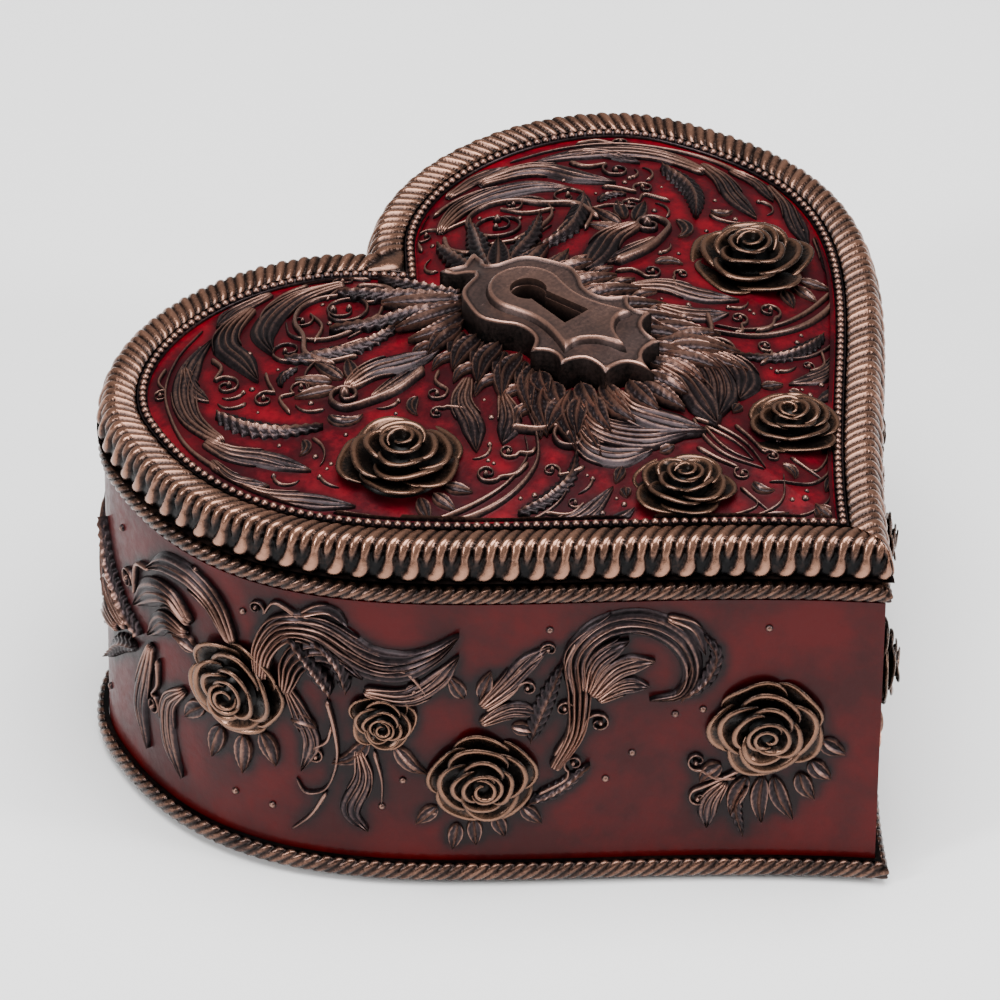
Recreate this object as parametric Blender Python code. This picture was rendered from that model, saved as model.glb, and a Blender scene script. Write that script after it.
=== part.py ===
"""Heart-shaped wind-up music box: hinged lid, rope trims, applied roses, keyhole plate and an
18-note spring movement wound by a key under the base.

Metres, +Z up. The heart's tip points to -Y and its cleft to +Y. The origin is at table level,
under the middle of the whole object.
"""
import math

import bmesh
import bpy
import numpy as np
from mathutils import Matrix, Vector

MM = 0.001

# Heart outline of the wall's outer face: each lobe is an ellipse arc, each flank a cubic curve.
LOBE_X, LOBE_Y = 35.92 * MM, 15.97 * MM
LOBE_RX, LOBE_RY = 43.27 * MM, 33.84 * MM
FLANK_START = math.radians(17.11)
TIP_Y = -102.72 * MM
TIP_HALF_ANGLE = math.radians(39.83)
FLANK_PULL_TOP, FLANK_PULL_TIP = 0.417, 0.445
LOBE_STEPS, FLANK_STEPS = 11, 8
END_STEP = 1.5 * MM

# Levels above the table.
FELT_TOP = 0.9 * MM
BASE_BOTTOM, BASE_TOP = 1.2 * MM, 3.7 * MM
FLOOR_BOTTOM, FLOOR_TOP = 16 * MM, 19 * MM
ROPE_BOTTOM, BOX_TOP = 65.7 * MM, 69.4 * MM
HINGE_Z = 70.5 * MM
LID_BOTTOM = 71.3 * MM
LINING_BOTTOM, PANEL_BOTTOM, PANEL_EDGE = 71.7 * MM, 73.9 * MM, 77.6 * MM
DOME_RISE = 6 * MM
DOME_CENTRE_Y = -15 * MM
PLATE_TOP = 90 * MM
PLATE_STEP = 1 * MM

# Widths across the wall, as offsets from the wall's outer face (outwards is positive).
WALL = 5 * MM
REBATE = 2.3 * MM
ROPE_OUT, ROPE_IN = 1.2 * MM, -2.0 * MM
FOOT_ROPE_OUT, FOOT_ROPE_TOP = 2.5 * MM, 5.1 * MM
RIM_CENTRE, RIM_HALF_WIDTH, RIM_HALF_HEIGHT = -2.3 * MM, 3.7 * MM, 6.7 * MM
RIM_MID_Z = 72.7 * MM
RIM_INNER = -6.4 * MM
PANEL_INSET, DOME_INSET = -6.7 * MM, -8.7 * MM
GAP = 0.25 * MM

# Hinges on the two lobe crests.
HINGE_REACH = 1.9 * MM
KNUCKLE_R, PIN_R, PIN_HOLE_R = 1.6 * MM, 0.7 * MM, 0.85 * MM
HINGE_WIDTH = 16 * MM
LEAF_THICK = 0.6 * MM

# Roses: position, radius and height. Lid roses in plan; side roses by the distance from the
# tip along the wall and the height above the table. Each is mirrored to the other side.
LID_ROSES = [(47.7, -21.6, 11.8, 6.5), (14.4, -63.8, 9.6, 5.0)]
SIDE_ROSES = [(123.3, 39.9, 10.2, 5.5), (94.2, 38.2, 6.5, 4.0), (75.4, 25.2, 10.2, 5.5),
              (21.4, 36.1, 11.0, 5.5)]
ROSE_SEAT = 1.5 * MM
ROSE_FOOT = 0.78
ROSE_SIDES = 12

# Movement, in its own plan coordinates (mm) around MOVEMENT_XY.
MOVEMENT_XY = (6 * MM, -6 * MM)
ARBOR_X = -14.0
BEDPLATE = (-29.5, 28.5, -23.2, 18.8)
BEDPLATE_BOTTOM, BEDPLATE_TOP = 20.5, 22.5
CYLINDER_Z = 30.0
CROWN_TEETH, PINION_TEETH, CYLINDER_TEETH, IDLER_TEETH = 39, 12, 24, 8
WORM_WHEEL_TEETH, WORM_STARTS = 20, 4
IDLER_Y = 8.0
WORM_X, WORM_Y = 24.8, 14.7
COMB_TEETH = 18
KEY_OPENING_R = 19 * MM
BASE_SCREWS = [(55, 8), (-55, 8), (22, -58), (-22, -58)]
MOVEMENT_SCREWS = [(-26, -20), (25, -20), (-26, 15.5)]
COMB_SCREWS = [(7, -19), (16, -19)]


# ---------------------------------------------------------------- heart outline
def half_outline(lobe_steps, flank_steps):
    """Points of the right half, from just after the cleft to just before the tip."""
    start = math.acos(-LOBE_X / LOBE_RX)
    angles = np.linspace(start, FLANK_START, lobe_steps + 1)
    arc = np.stack([LOBE_X + LOBE_RX * np.cos(angles), LOBE_Y + LOBE_RY * np.sin(angles)], 1)
    along = np.array([LOBE_RX * math.sin(FLANK_START), -LOBE_RY * math.cos(FLANK_START)])
    along /= np.linalg.norm(along)
    tip = np.array([0.0, TIP_Y])
    span = np.linalg.norm(tip - arc[-1])
    into_tip = np.array([-math.sin(TIP_HALF_ANGLE), -math.cos(TIP_HALF_ANGLE)])
    p1 = arc[-1] + along * FLANK_PULL_TOP * span
    p2 = tip - into_tip * FLANK_PULL_TIP * span
    u = np.linspace(0, 1, flank_steps + 1)[1:, None]
    flank = (1 - u) ** 3 * arc[-1] + 3 * (1 - u) ** 2 * u * p1 + 3 * (1 - u) * u * u * p2 + u ** 3 * tip
    return np.concatenate([arc, flank])


def normals_of(points):
    """Outward normals of a half outline that runs clockwise."""
    along = np.gradient(points, axis=0)
    along /= np.linalg.norm(along, axis=1)[:, None]
    return np.stack([-along[:, 1], along[:, 0]], 1)


DENSE = half_outline(600, 600)
DENSE_NORMALS = normals_of(DENSE)
DENSE_RUN = np.concatenate([[0], np.cumsum(np.linalg.norm(np.diff(DENSE, axis=0), axis=1))])


def at_run(run):
    """Point and outward normal at a distance along the right half, from the cleft."""
    point = np.array([np.interp(run, DENSE_RUN, DENSE[:, i]) for i in (0, 1)])
    normal = np.array([np.interp(run, DENSE_RUN, DENSE_NORMALS[:, i]) for i in (0, 1)])
    return point, normal / np.linalg.norm(normal)


def sample_runs():
    """Distances along the half outline at which every loop has a vertex."""
    coarse = half_outline(LOBE_STEPS, FLANK_STEPS)[1:-1]
    runs = [DENSE_RUN[np.argmin(np.linalg.norm(DENSE - p, axis=1))] for p in coarse]
    return [END_STEP] + runs + [DENSE_RUN[-1] - END_STEP]


SAMPLES = [at_run(run) for run in sample_runs()]


def meet_axis(inner, outer):
    """Where the line through two points crosses the mirror plane."""
    slope = (outer[1] - inner[1]) / (outer[0] - inner[0])
    return np.array([0.0, inner[1] - slope * inner[0]])


def half_loop(offset):
    """The right half at an offset, closed on the mirror plane, always with the same count."""
    moved = [point + normal * offset for point, normal in SAMPLES]
    valid = [i for i, p in enumerate(moved) if p[0] > 0.3 * MM]
    first, last = valid[0], valid[-1]
    cleft = meet_axis(moved[first], moved[first + 1])
    tip = meet_axis(moved[last], moved[last - 1])
    for i in range(first):
        moved[i] = cleft + (moved[first] - cleft) * (i + 1) / (first + 1)
    for i in range(last + 1, len(moved)):
        moved[i] = tip + (moved[last] - tip) * (len(moved) - i) / (len(moved) - last)
    return [cleft] + moved + [tip]


def heart_loop(offset, z, scale=1.0):
    """A whole loop, anticlockwise from above; scale shrinks it about the dome's centre."""
    right = half_loop(offset)
    left = [np.array([-p[0], p[1]]) for p in right[-2:0:-1]]
    loop = (right + left)[::-1]
    centre = np.array([0.0, DOME_CENTRE_Y])
    return [(*(centre + (p - centre) * scale + [0, SHIFT_Y]), z) for p in loop]


CREST_Y = LOBE_Y + LOBE_RY
HINGE_Y_RAW = CREST_Y + HINGE_REACH
FOOT_TIP_RAW = half_loop(FOOT_ROPE_OUT)[-1][1]
SHIFT_Y = -(HINGE_Y_RAW + KNUCKLE_R + FOOT_TIP_RAW) / 2
HINGE_Y = HINGE_Y_RAW + SHIFT_Y


# ---------------------------------------------------------------- scene helpers
def clear_scene():
    for obj in list(bpy.data.objects):
        bpy.data.objects.remove(obj, do_unlink=True)


def make_material(name, colour, metallic, roughness, alpha=1.0):
    mat = bpy.data.materials.new(name)
    mat.use_nodes = True
    shader = mat.node_tree.nodes["Principled BSDF"]
    shader.inputs["Base Color"].default_value = (*colour, 1)
    shader.inputs["Metallic"].default_value = metallic
    shader.inputs["Roughness"].default_value = roughness
    shader.inputs["Alpha"].default_value = alpha
    mat.diffuse_color = (*colour, alpha)
    return mat


def new_object(name, verts, faces, mat, smooth=False):
    mesh = bpy.data.meshes.new(name)
    bm = bmesh.new()
    made = [bm.verts.new(v) for v in verts]
    for face in faces:
        bm.faces.new([made[i] for i in face])
    bmesh.ops.recalc_face_normals(bm, faces=bm.faces)
    bm.to_mesh(mesh)
    bm.free()
    obj = bpy.data.objects.new(name, mesh)
    bpy.context.collection.objects.link(obj)
    if mat:
        mesh.materials.append(mat)
    if smooth:
        mesh.shade_smooth()
        mesh.set_sharp_from_angle(angle=math.radians(35))
    return obj


def from_loops(name, loops, mat, closed=False, smooth=False):
    """A body from equal loops: capped at both ends, or joined back to its first loop."""
    count = len(loops[0])
    verts = [v for loop in loops for v in loop]
    faces = []
    pairs = len(loops) if closed else len(loops) - 1
    for k in range(pairs):
        a, b = k * count, ((k + 1) % len(loops)) * count
        for i in range(count):
            j = (i + 1) % count
            faces.append((a + i, a + j, b + j, b + i))
    if not closed:
        faces.append(tuple(range(count - 1, -1, -1)))
        faces.append(tuple(range((len(loops) - 1) * count, len(loops) * count)))
    return new_object(name, verts, faces, mat, smooth)


def heart_body(name, profile, mat, closed=False):
    """A heart-shaped ring, plate or tray from its (offset, height) section."""
    return from_loops(name, [heart_loop(offset, z) for offset, z in profile], mat, closed)


def circle(radius, z, sides, centre=(0.0, 0.0)):
    steps = [2 * math.pi * i / sides for i in range(sides)]
    return [(centre[0] + radius * math.cos(a), centre[1] + radius * math.sin(a), z) for a in steps]


def turned(name, profile, sides, mat, closed=False, centre=(0.0, 0.0), smooth=True):
    """A body turned about a vertical line from its (radius, height) section."""
    return from_loops(name, [circle(r, z, sides, centre) for r, z in profile], mat, closed, smooth)


def block(name, low, high, mat=None):
    x0, y0, z0 = low
    x1, y1, z1 = high
    plan = [(x0, y0), (x1, y0), (x1, y1), (x0, y1)]
    return from_loops(name, [[(x, y, z) for x, y in plan] for z in (z0, z1)], mat)


def prism(name, plan, z0, z1, mat=None):
    return from_loops(name, [[(x, y, z) for x, y in plan] for z in (z0, z1)], mat)


def transform(obj, matrix):
    obj.data.transform(matrix)
    return obj


def along_x(obj, x, y, z):
    """Turn a body made about +Z so that its axis runs along +X through (x, y, z)."""
    return transform(obj, Matrix.Translation((x, y, z)) @ Matrix.Rotation(math.pi / 2, 4, "Y"))


def boolean(obj, tool, operation):
    tool.hide_render = True
    tool.display_type = "WIRE"
    mod = obj.modifiers.new(tool.name, "BOOLEAN")
    mod.operation = operation
    mod.solver = "EXACT"
    mod.object = tool


def cut(obj, tool):
    boolean(obj, tool, "DIFFERENCE")


def join(obj, tool):
    boolean(obj, tool, "UNION")


def drill(obj, x, y, z0, z1, radius, sides=10):
    name = f"cut_{obj.name}_{len(obj.modifiers)}"
    cut(obj, turned(name, [(radius, z0), (radius, z1)], sides, None, centre=(x, y)))


def movement_point(x, y):
    return MOVEMENT_XY[0] + x * MM, MOVEMENT_XY[1] + SHIFT_Y + y * MM


def ride(name, position, pieces):
    """Parent the pieces of one moving body to an empty on its joint's axis."""
    pivot = bpy.data.objects.new(name, None)
    bpy.context.collection.objects.link(pivot)
    pivot.location = position
    for piece in pieces:
        piece.parent = pivot
        piece.matrix_parent_inverse = Matrix.Translation(-Vector(position))
    return pivot


# ---------------------------------------------------------------- box
def build_box(mats):
    profile = [(-WALL, FLOOR_BOTTOM), (-WALL, BASE_BOTTOM), (0, BASE_BOTTOM), (0, ROPE_BOTTOM - GAP),
               (-REBATE, ROPE_BOTTOM - GAP), (-REBATE, BOX_TOP), (-WALL, BOX_TOP), (-WALL, FLOOR_TOP)]
    shell = heart_body("box_shell", profile, mats["enamel"])
    for i, (x, y) in enumerate(BASE_SCREWS):
        top = FLOOR_BOTTOM + 1 * MM
        boss = turned(f"boss_{i}", [(4 * MM, BASE_TOP + GAP), (4 * MM, top)], 10, None,
                      centre=(x * MM, y * MM + SHIFT_Y))
        join(shell, boss)
    for x, y in BASE_SCREWS:
        drill(shell, x * MM, y * MM + SHIFT_Y, BASE_TOP, 12 * MM, 1.45 * MM)
    arbor_x, arbor_y = movement_point(ARBOR_X, 0)
    drill(shell, arbor_x, arbor_y, FLOOR_BOTTOM - 1 * MM, FLOOR_TOP + 1 * MM, 2.3 * MM)
    for x, y in MOVEMENT_SCREWS:
        drill(shell, *movement_point(x, y), 17.2 * MM, FLOOR_TOP + 1 * MM, 1.25 * MM)
    upper = heart_body("upper_rope_trim", [(ROPE_OUT, ROPE_BOTTOM), (ROPE_OUT, BOX_TOP),
                                           (ROPE_IN, BOX_TOP), (ROPE_IN, ROPE_BOTTOM)],
                       mats["bronze"], closed=True)
    heart_body("lower_rope_trim", [(FOOT_ROPE_OUT, BASE_BOTTOM), (FOOT_ROPE_OUT, FOOT_ROPE_TOP),
                                   (GAP, FOOT_ROPE_TOP), (GAP, BASE_BOTTOM)],
               mats["bronze"], closed=True)
    inset = -WALL - GAP
    liner = heart_body("velvet_liner", [(inset, FLOOR_TOP + GAP), (inset, 66 * MM), (inset - MM, 66 * MM),
                                        (inset - MM, FLOOR_TOP + GAP + MM)], mats["velvet"])
    drill(liner, arbor_x, arbor_y, FLOOR_TOP, 21 * MM, 2.6 * MM)
    for x, y in MOVEMENT_SCREWS:
        drill(liner, *movement_point(x, y), FLOOR_TOP, 21 * MM, 1.6 * MM, 12)
    return shell, upper


def build_base(mats):
    felt = heart_body("base_felt", [(-1 * MM, 0), (-1 * MM, FELT_TOP)], mats["felt"])
    plate = heart_body("base_plate", [(-WALL - GAP, BASE_BOTTOM), (-WALL - GAP, BASE_TOP)], mats["board"])
    arbor_x, arbor_y = movement_point(ARBOR_X, 0)
    drill(felt, arbor_x, arbor_y, -MM, 2 * MM, KEY_OPENING_R, 32)
    drill(plate, arbor_x, arbor_y, 0, 5 * MM, KEY_OPENING_R, 32)
    for i, (x, y) in enumerate(BASE_SCREWS):
        place = (x * MM, y * MM + SHIFT_Y)
        drill(plate, *place, 0, 2.5 * MM, 3.1 * MM)
        drill(plate, *place, 2.4 * MM, 5 * MM, 1.5 * MM)
        turned(f"base_screw_{i + 1}", [(2.8 * MM, 1.3 * MM), (2.8 * MM, 2.2 * MM), (1.2 * MM, 2.3 * MM),
                                       (1.2 * MM, 11 * MM)], 12, mats["steel"], centre=place)


# ---------------------------------------------------------------- roses
def rose(name, radius, height, mat):
    """A low rose: flat back, stepped rings of petals and a bud, about +Z from its back."""
    rings = [(0.74, 0.0), (ROSE_FOOT, 0.54), (1.0, 0.62), (0.95, 0.76), (0.64, 0.8), (0.56, 0.93), (0.25, 1.0)]
    loops = []
    for k, (r, z) in enumerate(rings):
        loop = []
        for i in range(ROSE_SIDES):
            angle = 2 * math.pi * (i + 0.5 * (k % 2)) / ROSE_SIDES
            wave = 1 - 0.05 * (i % 2) * (1 < k < 6)
            loop.append((r * radius * wave * math.cos(angle), r * radius * wave * math.sin(angle), z * height))
        loops.append(loop)
    return from_loops(name, loops, mat)


def dome_height(x, y):
    """Height of the lid's surface at a point, from how far it is from the centre to the edge."""
    edge = np.array([p[:2] for p in heart_loop(DOME_INSET, 0)]) - [0, SHIFT_Y + DOME_CENTRE_Y]
    here = np.array([x, y - SHIFT_Y - DOME_CENTRE_Y])
    angles = np.arctan2(edge[:, 1], edge[:, 0])
    order = np.argsort(angles)
    reach = np.interp(math.atan2(here[1], here[0]), angles[order], np.linalg.norm(edge, axis=1)[order],
                      period=2 * math.pi)
    share = np.linalg.norm(here) / reach
    return PANEL_EDGE + DOME_RISE * (1 - share ** 2)


def build_side_roses(shell, mats):
    for side, word in ((-1, "left"), (1, "right")):
        for i, (run, z, radius, height) in enumerate(SIDE_ROSES):
            point, normal = at_run(DENSE_RUN[-1] - run * MM)
            out = Vector((side * normal[0], normal[1], 0))
            matrix = out.to_track_quat("Z", "Y").to_matrix().to_4x4()
            seat = Vector((side * point[0], point[1] + SHIFT_Y, z * MM)) - out * ROSE_SEAT
            matrix.translation = seat
            flower = rose(f"side_rose_{word}_{i + 1}", radius * MM, height * MM + ROSE_SEAT, mats["bronze"])
            transform(flower, matrix)
            hole = (radius * ROSE_FOOT * MM + GAP) / math.cos(math.pi / 12)
            pocket = turned(f"pocket_{word}_{i}", [(hole, -GAP), (hole, 6 * MM)], 12, None)
            cut(shell, transform(pocket, matrix))


# ---------------------------------------------------------------- lid
def build_lid(mats):
    steps = [math.radians(a) for a in (-12, 20, 48, 74, 100, 120, 134)]
    section = [(RIM_CENTRE + RIM_HALF_WIDTH * math.cos(a), RIM_MID_Z + RIM_HALF_HEIGHT * math.sin(a))
               for a in steps]
    section[0] = (section[0][0], LID_BOTTOM)
    section += [(RIM_INNER, PANEL_EDGE - 0.3 * MM), (RIM_INNER, LID_BOTTOM)]
    rim = heart_body("lid_rim", section, mats["bronze"], closed=True)

    loops = [heart_loop(PANEL_INSET, PANEL_BOTTOM), heart_loop(PANEL_INSET, PANEL_EDGE - GAP),
             heart_loop(DOME_INSET, PANEL_EDGE)]
    for share in (0.85, 0.6, 0.3):
        loops.append(heart_loop(DOME_INSET, PANEL_EDGE + DOME_RISE * (1 - share ** 2), share))
    panel = from_loops("lid_panel", loops, mats["enamel"], smooth=True)
    bead = heart_body("lid_bead_trim", [(-6.9 * MM, PANEL_EDGE + GAP), (-6.9 * MM, 79 * MM),
                                        (-8.5 * MM, 79 * MM), (-8.5 * MM, PANEL_EDGE + GAP)],
                      mats["bronze"], closed=True)
    lining = heart_body("lid_lining", [(PANEL_INSET, LINING_BOTTOM), (PANEL_INSET, PANEL_BOTTOM - GAP)],
                        mats["velvet"])
    return rim, panel, [rim, panel, bead, lining]


def build_lid_roses(panel, mats):
    flowers = []
    for i, (x, y, radius, height) in enumerate(LID_ROSES):
        for side, word in ((-1, "left"), (1, "right")):
            place = (side * x * MM, y * MM + SHIFT_Y)
            seat = dome_height(*place) - ROSE_SEAT
            name = f"lid_rose_{word}_{i + 1}"
            flower = rose(name, radius * MM, height * MM + ROSE_SEAT, mats["bronze"])
            flowers.append(transform(flower, Matrix.Translation((*place, seat))))
            hole = (radius * ROSE_FOOT * MM + GAP) / math.cos(math.pi / 12)
            cut(panel, turned(f"pocket_{name}", [(hole, seat - GAP), (hole, seat + 8 * MM)], 12, None,
                              centre=place))
    return flowers


def arc(centre, radius, start, end, steps):
    """Points on an arc in plan, angles in degrees."""
    angles = [math.radians(start + (end - start) * i / steps) for i in range(steps + 1)]
    return [(centre[0] + radius * math.cos(a), centre[1] + radius * math.sin(a)) for a in angles]


def mirrored(half):
    """Close a half outline that starts and ends on the mirror plane."""
    return half + [(-x, y) for x, y in half[-2:0:-1]]


def scallop(start, end, depth, steps=4):
    """A hollow curve between two points, bowed to the left of the way from start to end."""
    dx, dy = end[0] - start[0], end[1] - start[1]
    points = []
    for i in range(1, steps):
        t = i / steps
        bow = 4 * depth * t * (1 - t)
        points.append((start[0] + dx * t - dy * bow, start[1] + dy * t + dx * bow))
    return points


def plate_outline():
    """Half of the keyhole plate: crown, neck, round body, waist and bat-wing lower edge (mm)."""
    corner_1, corner_2, corner_3, tip = (13.5, -22.0), (12.4, -29.0), (7.4, -36.0), (0, -41.8)
    half = [(0, 9.5), (4.6, 11.4), (3.4, 7.6), (1.8, 5.2), (3.2, 3.4), (8.6, 1.4)]
    half += [(11.2, -3.0), (12.4, -7.4), (11.2, -11.0), (9.3, -14.0), (9.0, -17.0), (10.2, -19.8)]
    half += [corner_1] + scallop(corner_1, corner_2, -0.33) + [corner_2]
    half += scallop(corner_2, corner_3, -0.30) + [corner_3] + scallop(corner_3, tip, -0.30) + [tip]
    return half


def inner_plate_outline():
    """Half of the raised inner plate (mm)."""
    half = [(0, -0.6)] + [(x, y) for x, y in arc((0, -7.4), 7.4, 68, -22, 5)]
    return half + [(5.9, -14.5), (6.1, -18.5), (7.2, -22.5), (9.0, -26.8), (5.4, -25.9), (2.0, -29.0), (0, -34.5)]


def keyhole_outline():
    """Half of the keyhole: a round head and a flaring slot (mm)."""
    return [(0, -4.6)] + arc((0, -8.0), 3.4, 60, -57, 5) + [(3.1, -21.0), (0, -21.0)]


def in_place(half):
    return [(x * MM, y * MM + SHIFT_Y) for x, y in mirrored(half)][::-1]


def build_keyhole_plate(panel, mats):
    seat = 79.6 * MM
    plate = prism("keyhole_plate", in_place(plate_outline()), seat, PLATE_TOP, mats["bronze"])
    join(plate, prism("plate_inner", in_place(inner_plate_outline()), seat + 2 * MM, PLATE_TOP + PLATE_STEP))
    cut(plate, prism("plate_keyhole", in_place(keyhole_outline()), seat - MM, PLATE_TOP + 3 * MM))
    pocket_half = [(0, 12.4), (5.6, 12.4), (4.4, 6.4), (10.2, 1.8), (12.8, -3.0), (13.0, -7.4), (11.0, -12.8),
                   (10.0, -16.0), (11.0, -19.4), (14.6, -21.8), (14.6, -30.0), (8.6, -37.2), (0, -43.0)]
    cut(panel, prism("plate_pocket", in_place(pocket_half), seat - GAP, PLATE_TOP))
    return plate


# ---------------------------------------------------------------- hinges
def knuckle(name, x, length):
    body = turned(name, [(KNUCKLE_R, -length / 2), (KNUCKLE_R, length / 2)], 16, None)
    return along_x(body, x, HINGE_Y, HINGE_Z)


def leaf(name, x, z0, knuckles, mat):
    """A flat leaf forward of the pin, with a neck and a knuckle for each (offset, length)."""
    front, root = HINGE_Y - 6 * MM, HINGE_Y - 2.1 * MM
    half = HINGE_WIDTH / 2
    body = block(name, (x - half, front, z0), (x + half, root, z0 + LEAF_THICK), mat)
    for i, (middle, length) in enumerate(knuckles):
        at = x + middle
        inset = 0.02 * MM
        neck = block(f"{name}_neck_{i}", (at - length / 2 + inset, root - 0.5 * MM, z0 + inset),
                     (at + length / 2 - inset, HINGE_Y - 1.0 * MM, z0 + LEAF_THICK - inset))
        join(body, neck)
        join(body, knuckle(f"{name}_knuckle_{i}", at, length))
    bore = turned(f"{name}_bore", [(PIN_HOLE_R, -0.01), (PIN_HOLE_R, 0.01)], 16, None)
    cut(body, along_x(bore, x, HINGE_Y, HINGE_Z))
    return body


def build_hinges(shell, upper_rope, rim, mats):
    upper_leaves = []
    for side, word in ((-1, "left"), (1, "right")):
        x = side * LOBE_X
        outer = [(-5.6 * MM, 4.6 * MM), (5.6 * MM, 4.6 * MM)]
        leaf(f"hinge_leaf_lower_{word}", x, BOX_TOP + 0.2 * MM, outer, mats["steel"])
        middle = [(0, 6.0 * MM)]
        upper_leaves.append(leaf(f"hinge_leaf_upper_{word}", x, LID_BOTTOM - 0.2 * MM - LEAF_THICK, middle,
                                 mats["steel"]))
        pin = turned(f"hinge_pin_{word}", [(PIN_R, -8.1 * MM), (PIN_R, 8.1 * MM)], 12, mats["steel"])
        along_x(pin, x, HINGE_Y, HINGE_Z)
        for i, piece in enumerate((shell, upper_rope, rim)):
            tool = block(f"hinge_room_{word}_{i}", (x - 8.4 * MM, HINGE_Y - 2.0 * MM, 68.5 * MM),
                         (x + 8.4 * MM, HINGE_Y + 5 * MM, 72.5 * MM))
            cut(piece, tool)
    return upper_leaves


# ---------------------------------------------------------------- movement
def gear_loop(teeth, root, tip, root_half, tip_half, z, phase):
    """One flat gear outline: four points for each tooth, sizes in mm."""
    loop = []
    for k in range(teeth):
        middle = phase + 2 * math.pi * k / teeth
        for radius, shift in ((root, -root_half / root), (tip, -tip_half / tip),
                              (tip, tip_half / tip), (root, root_half / root)):
            angle = middle + shift
            loop.append((radius * MM * math.cos(angle), radius * MM * math.sin(angle), z * MM))
    return loop


def gear(name, teeth, root, tip, root_half, tip_half, thick, phase, mat):
    """A solid gear about +Z from z = 0; its bore is drilled once it is in place."""
    return from_loops(name, [gear_loop(teeth, root, tip, root_half, tip_half, z, phase)
                             for z in (0, thick)], mat)


def bore_along_x(obj, x, y, z, radius):
    """Bore a piece right through along X."""
    tool = turned(f"{obj.name}_bore", [(radius * MM, -9 * MM), (radius * MM, 9 * MM)], 10, None)
    cut(obj, along_x(tool, x, y, z))


def build_bedplate(mats):
    x0, x1, y0, y1 = BEDPLATE

    def slab(name, low, high, mat=None):
        (ax, ay), (bx, by) = movement_point(low[0], low[1]), movement_point(high[0], high[1])
        return block(name, (ax, ay, low[2] * MM), (bx, by, high[2] * MM), mat)

    plate = slab("movement_bedplate", (x0, y0, BEDPLATE_BOTTOM), (x1, y1, BEDPLATE_TOP), mats["zinc"])
    join(plate, slab("tower_1", (1.4, -3, 22), (2.6, 3, 32.5)))
    join(plate, slab("tower_2", (21.6, -3, 22), (23.0, 3, 32.5)))
    join(plate, slab("comb_riser", (3.0, -22.2, 22), (19.6, -15.4, 29.3)))
    for i, x in enumerate((2, 22.3)):
        bore = turned(f"bearing_bore_{i}", [(1.15 * MM, -2 * MM), (1.15 * MM, 2 * MM)], 16, None)
        px, py = movement_point(x, 0)
        cut(plate, along_x(bore, px, py, CYLINDER_Z * MM))
    drill(plate, *movement_point(ARBOR_X, 0), 20 * MM, 23 * MM, 2.3 * MM)
    for x, y in MOVEMENT_SCREWS:
        drill(plate, *movement_point(x, y), 20 * MM, 23 * MM, 1.3 * MM)
    for x, y in COMB_SCREWS:
        drill(plate, *movement_point(x, y), 25 * MM, 30 * MM, 1.15 * MM)
    drill(plate, *movement_point(WORM_X, WORM_Y), 21.5 * MM, 23 * MM, 0.8 * MM)


def build_spring(mats):
    centre = movement_point(ARBOR_X, 0)
    turned("spring_housing", [(11.6 * MM, 22.8 * MM), (11.6 * MM, 34.6 * MM), (10.7 * MM, 34.6 * MM),
                              (10.7 * MM, 23.8 * MM), (2.4 * MM, 23.8 * MM), (2.4 * MM, 22.8 * MM)],
           20, mats["brass"], closed=True, centre=centre)
    stations = []
    turns, per_turn = 5, 12
    for i in range(turns * per_turn + 1):
        angle = 2 * math.pi * i / per_turn
        radius = 3.2 + (10.2 - 3.2) * i / (turns * per_turn)
        section = [(radius, 24.2), (radius + 0.35, 24.2), (radius + 0.35, 34.2), (radius, 34.2)]
        stations.append([(centre[0] + r * MM * math.cos(angle), centre[1] + r * MM * math.sin(angle), z * MM)
                         for r, z in section])
    from_loops("mainspring", stations, mats["spring"])


def crown_loops(centre):
    """Loops of the great wheel: its web, the crown teeth that hang under its rim, and its top."""
    root_half, tip_half = 0.58 / 13.65, 0.28 / 13.65
    loops = [[], [], [], []]
    for k in range(CROWN_TEETH):
        middle = (k + 0.5) * 2 * math.pi / CROWN_TEETH
        for angle, low in ((middle - root_half, 35.0), (middle - tip_half, 33.8),
                           (middle + tip_half, 33.8), (middle + root_half, 35.0)):
            section = [(12.4, 35.2), (12.4, low), (15.0, low), (15.0, 37.0)]
            for loop, (r, z) in zip(loops, section):
                loop.append((centre[0] + r * MM * math.cos(angle), centre[1] + r * MM * math.sin(angle), z * MM))
    return loops


def build_winding(mats):
    centre = movement_point(ARBOR_X, 0)
    arbor = turned("winding_arbor", [(2.0 * MM, 8 * MM), (2.0 * MM, 37.4 * MM)], 16, mats["steel"],
                   centre=centre)
    wheel = from_loops("great_wheel", crown_loops(centre), mats["brass"])
    drill(wheel, *centre, 34 * MM, 38 * MM, 2.25 * MM)

    key = turned("winding_key", [(3.4 * MM, 4 * MM), (3.4 * MM, 15 * MM)], 16, mats["brass"], centre=centre)
    outline = []
    for i in range(28):
        angle = 2 * math.pi * i / 28
        along = math.cos(angle)
        height = 4.1 * math.sin(angle) * (0.62 + 0.38 * along * along)
        outline.append((centre[0] + 13 * MM * along, (8.3 + height) * MM))
    thick = 0.9 * MM
    wing = from_loops("key_wing", [[(x, centre[1] + s * thick, z) for x, z in outline] for s in (1, -1)], None)
    join(key, wing)
    drill(key, *centre, 7 * MM, 16 * MM, 2.25 * MM)
    ride("winding", (*centre, 0), [arbor, wheel, key])


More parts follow.
